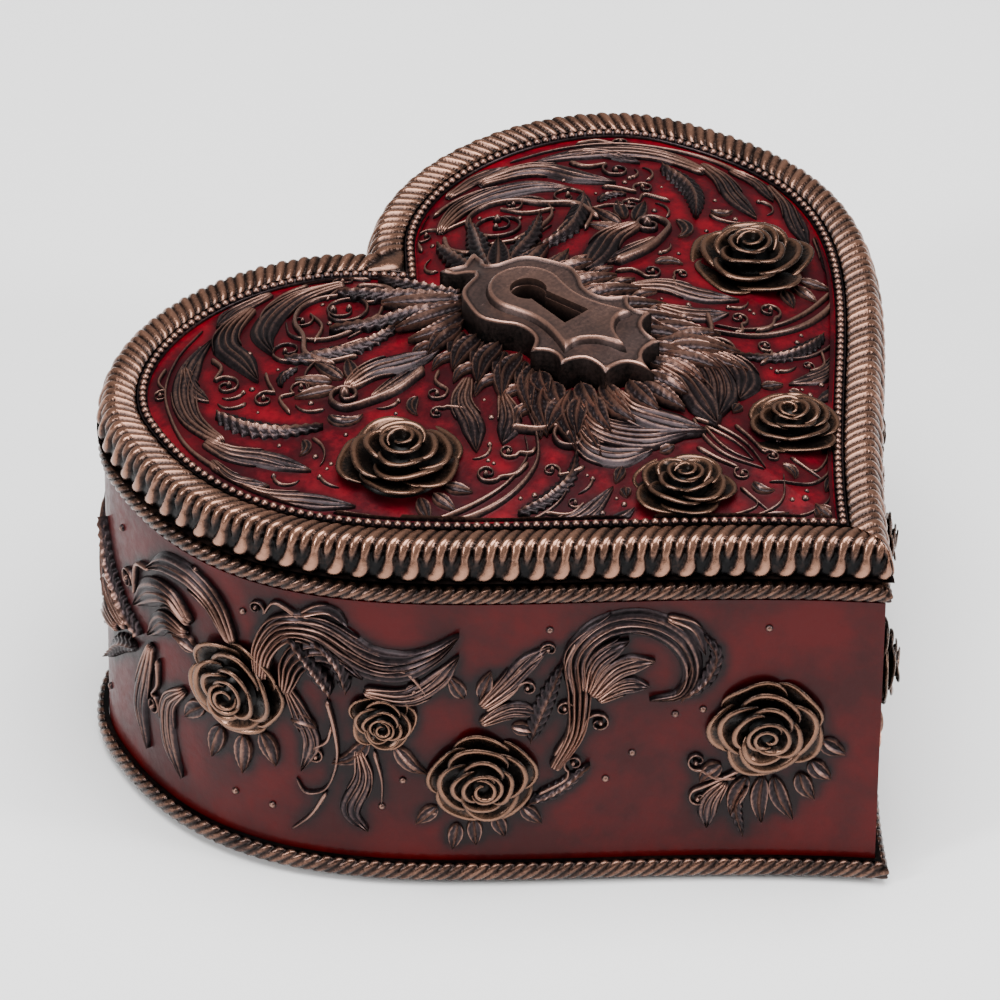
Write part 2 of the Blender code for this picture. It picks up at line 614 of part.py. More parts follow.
def build_cylinder(mats):
    px, py = movement_point(0, 0)
    z = CYLINDER_Z * MM

    def on_axis(obj, x):
        return along_x(obj, px + x * MM, py, z)

    drum = turned("cylinder", [(6.5 * MM, 0), (6.5 * MM, 16.2 * MM), (1.2 * MM, 16.2 * MM), (1.2 * MM, 0)],
                  20, mats["brass"], closed=True)
    arbor = turned("cylinder_arbor", [(0.95 * MM, 0), (0.95 * MM, 25.4 * MM)], 12, mats["steel"])
    # Turned onto +X, the local +X direction points down and +Y stays: the phases follow from that.
    pinion = gear("cylinder_pinion", PINION_TEETH, 3.3, 4.7, 0.62, 0.25, 2.1, math.pi, mats["steel"])
    wheel = gear("cylinder_gear", CYLINDER_TEETH, 5.4, 6.4, 0.45, 0.18, 1.4, math.pi / 2, mats["brass"])
    pieces = [on_axis(drum, 3.2), on_axis(arbor, -1.6), on_axis(pinion, -1.2), on_axis(wheel, 19.8)]
    bore_along_x(pinion, px, py, z, 1.15)
    bore_along_x(wheel, px + 20 * MM, py, z, 1.15)
    ride("cylinder_body", (px, py, z), pieces)


def build_governor(mats):
    px, py = movement_point(0, IDLER_Y)
    z = CYLINDER_Z * MM
    idler_phase = -math.pi / 2 + math.pi / IDLER_TEETH
    pinion = gear("idler_pinion", IDLER_TEETH, 1.4, 2.45, 0.45, 0.15, 1.4, idler_phase, mats["steel"])
    arbor = turned("idler_arbor", [(0.55 * MM, 0), (0.55 * MM, 8.4 * MM)], 10, mats["steel"])
    wheel = gear("worm_wheel", WORM_WHEEL_TEETH, 4.2, 5.0, 0.5, 0.25, 1.2, 0, mats["brass"])
    pieces = [along_x(pinion, px + 19.8 * MM, py, z), along_x(arbor, px + 19.4 * MM, py, z),
              along_x(wheel, px + 24.2 * MM, py, z)]
    bore_along_x(pinion, px + 20 * MM, py, z, 0.75)
    bore_along_x(wheel, px + 24 * MM, py, z, 0.75)
    ride("idler_body", (px, py, z), pieces)

    wx, wy = movement_point(WORM_X, WORM_Y)
    loops = [circle(0.5 * MM, 22.1 * MM, 16), circle(0.5 * MM, 26 * MM, 16)]
    turns_per_mm = 1 / (WORM_STARTS * math.pi * 0.5)
    step = 0.6
    for i in range(14):
        height = 26.2 + step * i
        twist = 2 * math.pi * turns_per_mm * step * i
        loops.append(gear_loop(WORM_STARTS, 0.95, 1.45, 0.40, 0.16, height, twist))
    loops += [circle(0.5 * MM, 34.1 * MM, 16), circle(0.5 * MM, 40.6 * MM, 16)]
    worm = from_loops("governor_worm", loops, mats["steel"])
    transform(worm, Matrix.Translation((wx, wy, 0)))
    hub = turned("air_brake", [(1.4 * MM, 36.2 * MM), (1.4 * MM, 40 * MM)], 14, mats["plastic"],
                 centre=(wx, wy))
    vane = block("fly_vane", (wx - 4.6 * MM, wy - 0.35 * MM, 36.4 * MM), (wx + 4.6 * MM, wy + 0.35 * MM, 39.8 * MM))
    join(hub, vane)
    drill(hub, wx, wy, 35 * MM, 41 * MM, 0.75 * MM, 12)
    ride("worm_body", (wx, wy, 30 * MM), [worm, hub])


def build_governor_frame(mats):
    def slab(name, low, high, mat=None):
        (ax, ay), (bx, by) = movement_point(low[0], low[1]), movement_point(high[0], high[1])
        return block(name, (ax, ay, low[2] * MM), (bx, by, high[2] * MM), mat)

    frame = slab("governor_frame", (22.0, 4.6, 22.7), (27.6, 18.4, 24.0), mats["zinc"])
    join(frame, slab("cheek_1", (22.1, 5.6, 23.5), (23.3, 10.6, 33.0)))
    join(frame, slab("cheek_2", (26.3, 5.7, 23.5), (27.5, 10.5, 32.9)))
    join(frame, slab("post", (22.2, 17.0, 23.5), (27.4, 18.3, 35.2)))
    join(frame, slab("bridge", (22.3, 12.6, 34.5), (27.3, 17.6, 35.5)))
    bore = turned("idler_bore", [(0.75 * MM, 0), (0.75 * MM, 8 * MM)], 12, None)
    px, py = movement_point(21.5, IDLER_Y)
    cut(frame, along_x(bore, px, py, CYLINDER_Z * MM))
    drill(frame, *movement_point(WORM_X, WORM_Y), 22 * MM, 37 * MM, 0.75 * MM, 12)


def build_comb(mats):
    """The steel comb: a plate with a row of tuned teeth, and its two screws."""
    left, right, tip_y, back_y = 3.4, 19.2, -7.2, -22.0
    pitch = (right - left) / COMB_TEETH
    slot = 0.28
    outline = [(left, back_y), (right, back_y)]
    for i in range(COMB_TEETH - 1, -1, -1):
        root_y = -14.6 + 0.13 * i
        a, b = left + i * pitch + slot / 2, left + (i + 1) * pitch - slot / 2
        outline += [(b, root_y), (b, tip_y), (a, tip_y), (a, root_y)]
    outline = [movement_point(x, y) for x, y in outline]
    comb = prism("comb", outline, 29.6 * MM, 30.4 * MM, mats["spring"])
    for i, (x, y) in enumerate(COMB_SCREWS):
        place = movement_point(x, y)
        drill(comb, *place, 29 * MM, 31 * MM, 1.15 * MM)
        turned(f"comb_screw_{i + 1}", [(0.9 * MM, 25.6 * MM), (0.9 * MM, 30.65 * MM), (1.7 * MM, 30.65 * MM),
                                       (1.7 * MM, 31.7 * MM)], 12, mats["steel"], centre=place)


def build_cover(mats):
    (ax, ay), (bx, by) = movement_point(-32, -25.6), movement_point(31, 21.2)
    cover = block("movement_cover", (ax, ay, 20.6 * MM), (bx, by, 46 * MM), mats["clear"])
    wall = 1.5 * MM
    cut(cover, block("cover_hollow", (ax + wall, ay + wall, 19 * MM), (bx - wall, by - wall, 44.5 * MM)))
    drill(cover, *movement_point(WORM_X + 1.0, WORM_Y - 5.6), 44 * MM, 47 * MM, 1.0 * MM)
    for i, (x, y) in enumerate(MOVEMENT_SCREWS):
        turned(f"movement_screw_{i + 1}", [(1.0 * MM, 17.5 * MM), (1.0 * MM, 22.65 * MM), (2.1 * MM, 22.65 * MM),
                                           (2.1 * MM, 23.7 * MM)], 12, mats["steel"], centre=movement_point(x, y))


def build_stop_wire(mats):
    """A rod under the lid whose foot stands beside the air brake while the lid is shut."""
    centre = movement_point(WORM_X + 1.0, WORM_Y - 5.6)
    rod = turned("stop_wire", [(0.6 * MM, 37.2 * MM), (0.6 * MM, 71.2 * MM)], 12, mats["steel"], centre=centre)
    foot = block("stop_foot", (centre[0] - 0.5 * MM, centre[1] - 1.4 * MM, 37.4 * MM),
                 (centre[0] + 0.5 * MM, centre[1] + 0.75 * MM, 38.6 * MM))
    join(rod, foot)
    ride("stop_body", (*centre, 37.2 * MM), [rod])


def main():
    clear_scene()
    mats = {
        "enamel": make_material("red_enamel", (0.26, 0.012, 0.016), 0.2, 0.2),
        "bronze": make_material("dark_bronze", (0.16, 0.10, 0.085), 0.8, 0.4),
        "velvet": make_material("black_velvet", (0.02, 0.015, 0.018), 0.0, 0.95),
        "felt": make_material("black_felt", (0.02, 0.02, 0.022), 0.0, 0.95),
        "board": make_material("base_board", (0.06, 0.05, 0.045), 0.0, 0.7),
        "steel": make_material("steel", (0.55, 0.56, 0.58), 1.0, 0.3),
        "spring": make_material("spring_steel", (0.30, 0.32, 0.36), 1.0, 0.3),
        "brass": make_material("brass", (0.72, 0.50, 0.20), 1.0, 0.3),
        "zinc": make_material("zinc", (0.62, 0.58, 0.48), 0.9, 0.4),
        "plastic": make_material("plastic", (0.75, 0.74, 0.70), 0.0, 0.4),
        "clear": make_material("clear", (0.9, 0.92, 0.93), 0.0, 0.1, 0.3),
    }
    shell, upper_rope = build_box(mats)
    build_base(mats)
    build_side_roses(shell, mats)
    rim, panel, lid_pieces = build_lid(mats)
    lid_pieces += build_lid_roses(panel, mats)
    lid_pieces.append(build_keyhole_plate(panel, mats))
    lid_pieces += build_hinges(shell, upper_rope, rim, mats)
    ride("lid", (0, HINGE_Y, HINGE_Z), lid_pieces)
    build_bedplate(mats)
    build_spring(mats)
    build_winding(mats)
    build_cylinder(mats)
    build_governor(mats)
    build_governor_frame(mats)
    build_comb(mats)
    build_cover(mats)
    build_stop_wire(mats)


main()
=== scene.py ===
"""Looks for the heart-shaped music box: cast bronze rims, ropes, roses and foliage over glossy
red enamel, a keyhole plate, a velvet inside and a brass movement under a clear cover.

Lengths are in millimetres until a mesh is made. Plan points (x, y) use the heart's own
coordinates, with the middle of the lobes near y = 16; SHIFT_Y moves them into the row frame.
"""

import math

import bmesh
import bpy
import numpy as np
from mathutils import Matrix, Vector
from mathutils.geometry import tessellate_polygon


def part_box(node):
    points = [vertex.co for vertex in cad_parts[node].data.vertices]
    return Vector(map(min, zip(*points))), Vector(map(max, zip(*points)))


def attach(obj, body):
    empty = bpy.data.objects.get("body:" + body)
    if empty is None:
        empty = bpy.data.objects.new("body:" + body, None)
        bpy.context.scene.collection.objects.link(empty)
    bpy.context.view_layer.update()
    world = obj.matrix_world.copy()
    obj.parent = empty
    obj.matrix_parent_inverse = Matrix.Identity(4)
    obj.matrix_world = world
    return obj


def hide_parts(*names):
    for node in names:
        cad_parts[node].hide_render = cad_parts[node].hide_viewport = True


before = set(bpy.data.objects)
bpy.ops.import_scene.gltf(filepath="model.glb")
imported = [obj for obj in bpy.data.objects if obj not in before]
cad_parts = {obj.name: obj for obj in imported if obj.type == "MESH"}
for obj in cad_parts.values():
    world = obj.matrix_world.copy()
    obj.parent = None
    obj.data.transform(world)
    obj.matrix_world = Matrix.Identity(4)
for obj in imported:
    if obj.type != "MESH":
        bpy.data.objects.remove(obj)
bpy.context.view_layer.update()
MM = 0.001

# Heart outline of the wall, as in the CAD: each lobe is an ellipse arc and each flank a cubic
# curve, whose two handles are PULL_TOP and PULL_TIP of the flank's span.
LOBE_X, LOBE_Y, LOBE_RX, LOBE_RY = 35.92, 15.97, 43.27, 33.84
FLANK_START = math.radians(17.11)
TIP_Y, TIP_HALF_ANGLE = -102.72, math.radians(39.83)
PULL_TOP, PULL_TIP = 0.417, 0.445
ARBOR_Y = -6.0
ARBOR_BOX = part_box("winding_arbor")
SHIFT_Y = (ARBOR_BOX[0].y + ARBOR_BOX[1].y) / 2 / MM - ARBOR_Y

# Levels above the table and offsets from the wall's outer face.
FELT_TOP = 0.9
SHELL_BOTTOM, FLOOR_BOTTOM, FLOOR_TOP = 1.2, 16.0, 19.0
ROPE_BOTTOM, BOX_TOP = 65.7, 69.4
LID_BOTTOM, LINING_BOTTOM, PANEL_BOTTOM, PANEL_EDGE = 71.3, 71.7, 73.9, 77.6
DOME_RISE, DOME_CENTRE = 6.0, np.array([0.0, -15.0])
PLATE_TOP = 90.0
WALL, REBATE = 5.0, 2.3
PANEL_INSET, DOME_INSET = -6.7, -8.7
RIM_CENTRE, RIM_HALF_WIDTH, RIM_HALF_HEIGHT, RIM_MID_Z, RIM_INNER = -2.3, 3.7, 6.7, 72.7, -6.4

# Roses: two coordinates on their surface, radius and height.
LID_ROSES = [(47.7, -21.6, 11.8, 6.5), (14.4, -63.8, 9.6, 5.0)]
SIDE_ROSES = [(123.3, 39.9, 10.2, 5.5), (94.2, 38.2, 6.5, 4.0), (75.4, 25.2, 10.2, 5.5),
              (21.4, 36.1, 11.0, 5.5)]

SIDES = ((-1, "left"), (1, "right"))


# ---------------------------------------------------------------- small helpers
def circle(count):
    """Evenly spaced angles round a full turn."""
    return np.linspace(0, 2 * math.pi, count + 1)[:-1]


def unit(vectors):
    return vectors / np.linalg.norm(vectors, axis=-1, keepdims=True)


def run_along(line):
    """Each point's distance from the first one, measured along the line."""
    return np.concatenate([[0], np.cumsum(np.linalg.norm(np.diff(line, axis=0), axis=1))])


def show(obj):
    bpy.context.scene.collection.objects.link(obj)
    return obj


# ---------------------------------------------------------------- heart outline
def half_outline(steps):
    """The right half of the wall's outline in plan, from the cleft to the tip."""
    start = math.acos(-LOBE_X / LOBE_RX)
    a = np.linspace(start, FLANK_START, steps)
    arc = np.stack([LOBE_X + LOBE_RX * np.cos(a), LOBE_Y + LOBE_RY * np.sin(a)], 1)
    along = unit(np.array([LOBE_RX * math.sin(FLANK_START), -LOBE_RY * math.cos(FLANK_START)]))
    tip = np.array([0.0, TIP_Y])
    span = np.linalg.norm(tip - arc[-1])
    p1 = arc[-1] + along * PULL_TOP * span
    p2 = tip + np.array([math.sin(TIP_HALF_ANGLE), math.cos(TIP_HALF_ANGLE)]) * PULL_TIP * span
    u = np.linspace(0, 1, steps)[1:, None]
    flank = (1 - u) ** 3 * arc[-1] + 3 * (1 - u) ** 2 * u * p1 + 3 * (1 - u) * u * u * p2 + u ** 3 * tip
    return np.concatenate([arc, flank])


LINE = half_outline(700)
TANGENT = unit(np.gradient(LINE, axis=0))
LINE_NORMAL = np.stack([-TANGENT[:, 1], TANGENT[:, 0]], 1)
RUN = run_along(LINE)
TOTAL = RUN[-1]


def at_run(run):
    """Points and outward normals of the right half at distances from the cleft."""
    point = np.stack([np.interp(run, RUN, LINE[:, i]) for i in (0, 1)], -1)
    normal = np.stack([np.interp(run, RUN, LINE_NORMAL[:, i]) for i in (0, 1)], -1)
    return point, unit(normal)


def meet_axis(inner, outer):
    """Where the line through two plan points crosses the heart's middle line."""
    slope = (outer[1] - inner[1]) / (outer[0] - inner[0])
    return np.array([0.0, inner[1] - slope * inner[0]])


class Ring:
    """Stations round the heart at a spacing. loop(offset) gives a closed loop whose points
    stay matched between offsets, and tip_run is each station's distance from the tip."""
    CORNER = 5                      # extra stations at the cleft and at the tip
    CORNER_RUN = 1.5                # the length of outline they stand for, in mm
    END_GAP = 0.15                  # how far the other stations keep from both ends

    def __init__(self, spacing):
        count = int(TOTAL / spacing)
        self.runs = np.linspace(self.END_GAP, TOTAL - self.END_GAP, count)
        past = (1 - np.linspace(0, 1, self.CORNER, endpoint=False)) * self.CORNER_RUN
        right = np.concatenate([TOTAL + past, TOTAL - self.runs, -past[::-1] - 2 * self.END_GAP])
        self.tip_run = np.concatenate([right, right[-2:0:-1]])

    def half(self, offset):
        """The right half of a loop; points that an offset carries over the middle line are
        gathered where the loop meets it."""
        point, normal = at_run(self.runs)
        moved = point + normal * offset
        good = np.flatnonzero(moved[:, 0] > 0.02)
        first, last = good[0], good[-1]
        cleft, tip = meet_axis(moved[first], moved[first + 2]), meet_axis(moved[last], moved[last - 2])
        moved[:first], moved[last + 1:] = cleft, tip
        ends = np.linspace(0, 1, self.CORNER, endpoint=False)[:, None]
        lead = cleft + (moved[0] - cleft) * ends
        tail = tip + (moved[-1] - tip) * ends
        return np.concatenate([lead, moved, tail[::-1]])

    def loop(self, offset):
        right = self.half(offset)
        left = right[-2:0:-1] * [-1, 1]
        return np.concatenate([right, left])

    def sweep(self, offsets, heights, push=None, normals=None):
        """Rows of 3-D points, one row for each (offset, height) of a section. push moves each
        point along the section's normal, in mm."""
        rows = []
        for k, (offset, z) in enumerate(zip(offsets, heights)):
            plan = self.loop(offset)
            height = np.full(len(plan), float(z))
            if push is not None:
                out = self.loop(offset + 0.5) - self.loop(offset - 0.5)
                plan = plan + out * (push[k] * normals[k][0])[:, None]
                height = height + push[k] * normals[k][1]
            rows.append(np.concatenate([plan, height[:, None]], 1))
        return np.array(rows)


# ---------------------------------------------------------------- meshes
class Builder:
    """Gathers patches of quads, with a value called ridge for each vertex, into one mesh."""

    def __init__(self):
        self.verts, self.faces, self.ridges, self.count = [], [], [], 0

    def grid(self, points, ridge=0.5, closed=False, flip=False):
        """Quads over rows of points; closed joins each row's last point to its first."""
        rows, cols = points.shape[:2]
        index = np.arange(rows * cols).reshape(rows, cols) + self.count
        if closed:
            index = np.concatenate([index, index[:, :1]], 1)
        quads = np.stack([index[:-1, :-1], index[:-1, 1:], index[1:, 1:], index[1:, :-1]], -1).reshape(-1, 4)
        self.verts.append(points.reshape(-1, 3))
        self.faces.append(quads[:, ::-1] if flip else quads)
        self.ridges.append(np.broadcast_to(ridge, (rows, cols)).reshape(-1))
        self.count += rows * cols

    def cap(self, loop, ridge=0.2, flip=False):
        """A fan that closes a loop about its middle."""
        middle = loop.mean(0)
        self.grid(np.stack([loop, np.broadcast_to(middle, loop.shape)]), ridge, closed=True, flip=flip)

    def build(self, name, body, slot, material, replaces=(), **attributes):
        verts = np.concatenate(self.verts)
        world = np.stack([verts[:, 0], verts[:, 1] + SHIFT_Y, verts[:, 2]], 1) * MM
        faces = np.concatenate(self.faces)
        mesh = bpy.data.meshes.new(name)
        mesh.vertices.add(len(world))
        mesh.vertices.foreach_set("co", world.astype(np.float32).ravel())
        mesh.loops.add(faces.size)
        mesh.loops.foreach_set("vertex_index", faces.astype(np.int32).ravel())
        mesh.polygons.add(len(faces))
        mesh.polygons.foreach_set("loop_start", np.arange(0, faces.size, 4, dtype=np.int32))
        mesh.polygons.foreach_set("use_smooth", np.full(len(faces), True))
        mesh.update(calc_edges=True)
        mesh.validate()
        for key, values in {"ridge": np.concatenate(self.ridges), **attributes}.items():
            layer = mesh.attributes.new(key, "FLOAT", "POINT")
            layer.data.foreach_set("value", np.asarray(values, np.float32))
        mesh.set_sharp_from_angle(angle=math.radians(65))
        return settle(name, mesh, body, material, replaces)


def settle(name, mesh, body, material, replaces=()):
    """Shows a mesh as a piece that rides on a body and stands for the CAD nodes it replaces."""
    mesh.materials.append(material)
    obj = show(bpy.data.objects.new(name, mesh))
    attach(obj, body)
    if replaces:
        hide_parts(*replaces)
    return obj


# ---------------------------------------------------------------- surfaces that carry relief
EDGE = Ring(1.0).loop(DOME_INSET) - DOME_CENTRE
EDGE_ANGLE = np.arctan2(EDGE[:, 1], EDGE[:, 0])
EDGE_ORDER = np.argsort(EDGE_ANGLE)
EDGE_REACH = np.linalg.norm(EDGE, axis=1)
RELIEF_LIMIT = 0.985                # share of the dome that relief may cover


def dome_share(xy):
    """How far a plan point is from the dome's centre, as a share of the way to its edge."""
    here = xy - DOME_CENTRE
    reach = np.interp(np.arctan2(here[..., 1], here[..., 0]), EDGE_ANGLE[EDGE_ORDER],
                      EDGE_REACH[EDGE_ORDER], period=2 * math.pi)
    return np.linalg.norm(here, axis=-1) / reach


def on_lid(side):
    """Placement on the domed lid; anything past the dome's edge is drawn back inside it."""
    def place(xy, height):
        share = dome_share(xy)
        pull = np.minimum(1, RELIEF_LIMIT / np.maximum(share, 1e-6))
        flat = (DOME_CENTRE + (xy - DOME_CENTRE) * pull[..., None]) * [side, 1]
        z = PANEL_EDGE + DOME_RISE * (1 - np.minimum(share, RELIEF_LIMIT) ** 2) + height
        return np.concatenate([flat, np.asarray(z)[..., None]], -1)
    return place


def on_wall(side):
    """Placement on one side wall: (distance from the tip, height) and how far it stands out."""
    def place(uz, height):
        point, normal = at_run(TOTAL - uz[..., 0])
        xy = (point + normal * height[..., None]) * [side, 1]
        return np.concatenate([xy, uz[..., 1:2]], -1)
    return place


def smooth_path(points, count):
    """An even Catmull-Rom curve through points, its unit tangents and its length."""
    p = np.array(points, float)
    p = np.concatenate([[2 * p[0] - p[1]], p, [2 * p[-1] - p[-2]]])
    t = np.linspace(0, 1, 12, endpoint=False)[:, None]
    parts = []
    for a, b, c, d in zip(p[:-3], p[1:-2], p[2:-1], p[3:]):
        parts.append(0.5 * (2 * b + (c - a) * t + (2 * a - 5 * b + 4 * c - d) * t ** 2
                            + (3 * b - a - 3 * c + d) * t ** 3))
    line = np.concatenate(parts + [p[-2:-1]])
    run = run_along(line)
    even = np.linspace(0, run[-1], count)
    line = np.stack([np.interp(even, run, line[:, i]) for i in (0, 1)], 1)
    return line, unit(np.gradient(line, axis=0)), run[-1]


class Relief(Builder):
    """Carved strands, leaves and beads on one surface. Paths are plan points on the lid and
    (distance from the tip, height) on the wall; half widths, heights and lifts are in mm.
    marks keeps the points that are covered, for fill and halo."""
    SUNK = 0.25                     # how far the edges sit under the surface

    def __init__(self, surface, side):
        super().__init__()
        self.place, self.side, self.marks = surface(side), side, []

    def ribbon(self, points, half_width, height, profile, across=7, lift=0.0, spacing=0.55):
        """A strip along a path. profile(t, v, length) gives its width and rise, as shares of
        half_width and height, and its ridge, at t along it and v across, from -1 to 1."""
        count = int(np.clip(smooth_path(points, 6)[2] / spacing, 7, 60))
        line, tangent, length = smooth_path(points, count)
        side = np.stack([-tangent[:, 1], tangent[:, 0]], 1)
        t, v = np.linspace(0, 1, count)[:, None], np.linspace(-1, 1, across)[None, :]
        width, rise, ridge = profile(t, v, length)
        flat = line[:, None] + side[:, None] * (v * width * half_width)[..., None]
        self.grid(self.place(flat, lift + height * rise - self.SUNK * (np.abs(v) == 1)), ridge,
                  flip=self.side > 0)
        self.marks.append(flat[:, ::2].reshape(-1, 2))

    def strand(self, points, half_width=0.55, height=1.1, lift=0.0):
        """A round tapering tendril."""
        def profile(t, v, length):
            cap = np.minimum(1, np.minimum(t, 1 - t) * length / 0.8) ** 0.5
            width = (1 - 0.62 * t) * cap
            rise = np.sqrt(np.clip(1 - v * v, 0, 1)) * (0.35 + 0.65 * width)
            return width, rise, rise ** 1.3
        self.ribbon(points, half_width, height, profile, 7, lift)

    def curl(self, centre, radius, start, turns, half_width=0.5, height=1.1, lead=(), lift=0.0):
        """A tendril that winds inwards to a bead. start is in degrees; turns < 0 go clockwise."""
        steps = np.linspace(0, 1, int(10 + 10 * abs(turns)))
        angle = math.radians(start) + 2 * math.pi * turns * steps
        reach = radius * (1 - 0.82 * steps ** 0.8)
        spiral = np.stack([centre[0] + reach * np.cos(angle), centre[1] + reach * np.sin(angle)], 1)
        self.strand(list(lead) + [tuple(p) for p in spiral], half_width, height, lift)
        self.bead(spiral[-1], half_width * 1.15, height * 1.15 + lift)

    def leaf(self, points, half_width=1.8, height=1.6, lift=0.0):
        """A pointed leaf with a midrib and slanting veins."""
        def profile(t, v, length):
            width = np.sin(math.pi * np.clip(t, 0, 1) ** 0.72) ** 0.85 + 0.03
            a = np.abs(v)
            vein = 0.5 + 0.5 * np.cos(2 * math.pi * (1.5 * t * length / 2.2 - 1.3 * a))
            rib = np.exp(-(a / 0.16) ** 2)
            edge = np.exp(-((a - 0.82) / 0.14) ** 2)
            rise = (1 - a ** 6) * (0.35 + 0.1 * vein * (1 - rib) + 0.55 * rib + 0.4 * edge)
            rise = rise * (0.45 + 0.55 * np.sin(math.pi * np.clip(t, 0.02, 0.98)) ** 0.5)
            return width, rise, np.clip(0.14 + 0.75 * np.maximum(rib, edge) * (1 - a ** 8) + 0.12 * vein, 0, 1)
        self.ribbon(points, half_width, height, profile, 13, lift, 0.4)

    def leaves(self, stems, half_width, height, lift=0.0, bow=None):
        """Leaves on stems (root x, root y, tip x, tip y), whose middle may be moved by bow."""
        for x, y, to_x, to_y in stems:
            middle = [((x + to_x) / 2 + bow[0], (y + to_y) / 2 + bow[1])] if bow else []
            self.leaf([(x, y), *middle, (to_x, to_y)], half_width, height, lift)

    def feather(self, points, half_width=2.0, height=1.6, barb=1.9, lift=0.0):
        """A leaf cut into forward-pointing barbs."""
        def profile(t, v, length):
            a = np.abs(v)
            phase = t * length / barb - 1.15 * a
            tooth = 0.5 + 0.5 * np.cos(2 * math.pi * phase)
            width = (np.sin(math.pi * np.clip(t, 0, 1) ** 0.7) ** 0.7 + 0.04) * (1 - 0.36 * (1 - tooth) * a ** 2)
            rib = np.exp(-(a / 0.17) ** 2)
            rise = (1 - a ** 6) * (0.42 + 0.2 * tooth * (1 - 0.3 * a) + 0.45 * rib)
            ridge = np.clip(0.1 + 0.45 * tooth ** 2 * (0.3 + 0.7 * a) + 0.6 * rib, 0, 1) * (1 - a ** 8)
            return width, rise, ridge
        self.ribbon(points, half_width, height, profile, 13, lift, 0.3)

    def plume(self, points, half_width=2.6, height=2.0, strands=5, flare=0.9, lift=0.0):
        """An acanthus leaf: a grooved body under side-by-side strands whose tips part and turn
        outwards."""
        stations = 16
        line, tangent, _ = smooth_path(points, stations)
        side = np.stack([-tangent[:, 1], tangent[:, 0]], 1)
        t = np.linspace(0, 1, stations)
        swell = (0.3 + 0.95 * np.sin(math.pi * np.clip(t * 0.82, 0, 1)) ** 0.9)[:, None]

        def body(t, v, length):
            groove = 0.5 + 0.5 * np.cos(math.pi * v * (strands - 1))
            width = (0.3 + 0.95 * np.sin(math.pi * t * 0.82) ** 0.9) * np.clip((1 - t) / 0.28, 0, 1) ** 0.6
            rise = (1 - np.abs(v) ** 5) * (0.34 + 0.22 * groove) * np.clip(0.4 + t * 4, 0, 1)
            return width, rise, 0.1 + 0.45 * groove * (1 - v ** 8)
        self.ribbon(points, half_width * 1.08, height, body, 4 * strands - 1, lift, 0.7)
        for k in range(strands):
            v = 2 * k / (strands - 1) - 1
            last = int(stations * (1 - 0.34 * abs(v) - 0.05 * (k % 2)))
            bend = v * swell + np.sign(v) * flare * (t[:, None] ** 4) * abs(v)
            path = (line + side * half_width * bend)[:last]
            wide = half_width / strands * (1.15 if k % 2 else 0.95)
            self.strand(path[::2], wide, height * (0.9 - 0.25 * abs(v)), lift)

    def bead(self, centre, radius, height=None):
        """A small dome."""
        height = radius if height is None else height
        a = circle(10)
        rings = []
        for e in np.linspace(0, math.pi / 2, 5):
            flat = centre + radius * math.cos(e) * np.stack([np.cos(a), np.sin(a)], 1)
            rings.append(self.place(flat, np.full(len(a), height * math.sin(e) - 0.2 * (e == 0))))
        self.grid(np.array(rings), np.linspace(0.2, 0.9, 5)[:, None], closed=True, flip=self.side < 0)
        self.marks.append(np.array([centre]))

    def beads(self, radius, *centres):
        for centre in centres:
            self.bead(centre, radius)

    def disc(self, centre, radius):
        """Marks a round thing that stands here, so that fill keeps off it and the halo takes it in."""
        a = np.linspace(0, 2 * math.pi, 60)
        for r in np.arange(0.4, radius, 0.4):
            self.marks.append(centre + r * np.stack([np.cos(a), np.sin(a)], 1))

    def fill(self, inside, flow, low, high, tries, seed, clear=0.5):
        """Small tendrils, leaves and beads in the gaps, along flow(point), an angle. Each starts
        at a random spot and grows by 1 mm steps until something is in its way."""
        shortest, longest = 6, 14   # points in a path
        rng = np.random.RandomState(seed)
        low, cell = np.array(low, float), 0.45
        size = ((np.array(high) - low) / cell).astype(int) + 1
        taken, used = np.zeros(size, bool), 0
        near = int(math.ceil(clear / cell))

        def free(spot):
            i, j = ((spot - low) / cell).astype(int)
            if not (near <= i < size[0] - near and near <= j < size[1] - near and inside(spot)):
                return False
            return not taken[i - near:i + near + 1, j - near:j + near + 1].any()
        for _ in range(tries):
            for marks in self.marks[used:]:
                cells = ((marks - low) / cell).astype(int)
                cells = cells[(cells >= 0).all(1) & (cells < size).all(1)]
                taken[cells[:, 0], cells[:, 1]] = True
            used = len(self.marks)
            spot = low + rng.uniform(0, 1, 2) * (np.array(high) - low)
            if not free(spot):
                continue
            heading = flow(spot) + rng.normal(0, 0.35)
            bend = rng.choice((-1, 1)) * rng.uniform(0.08, 0.42)
            path = [spot]
            while len(path) < longest:
                ahead = path[-1] + np.array([math.cos(heading), math.sin(heading)])
                if not free(ahead):
                    break
                path.append(ahead)
                heading += bend
            kind = rng.uniform()
            if len(path) < shortest:
                if kind < 0.05:
                    self.bead(spot, rng.uniform(0.35, 0.55))
            elif kind < 0.55:
                self.strand(path, 0.42, 0.85)
                if kind < 0.35:
                    self.bead(path[0], 0.55, 0.8)
            elif kind < 0.8:
                self.leaf(path, 0.13 * len(path) + 0.3, 1.1)
            else:
                self.feather(path, 0.13 * len(path) + 0.3, 1.1, 1.5)

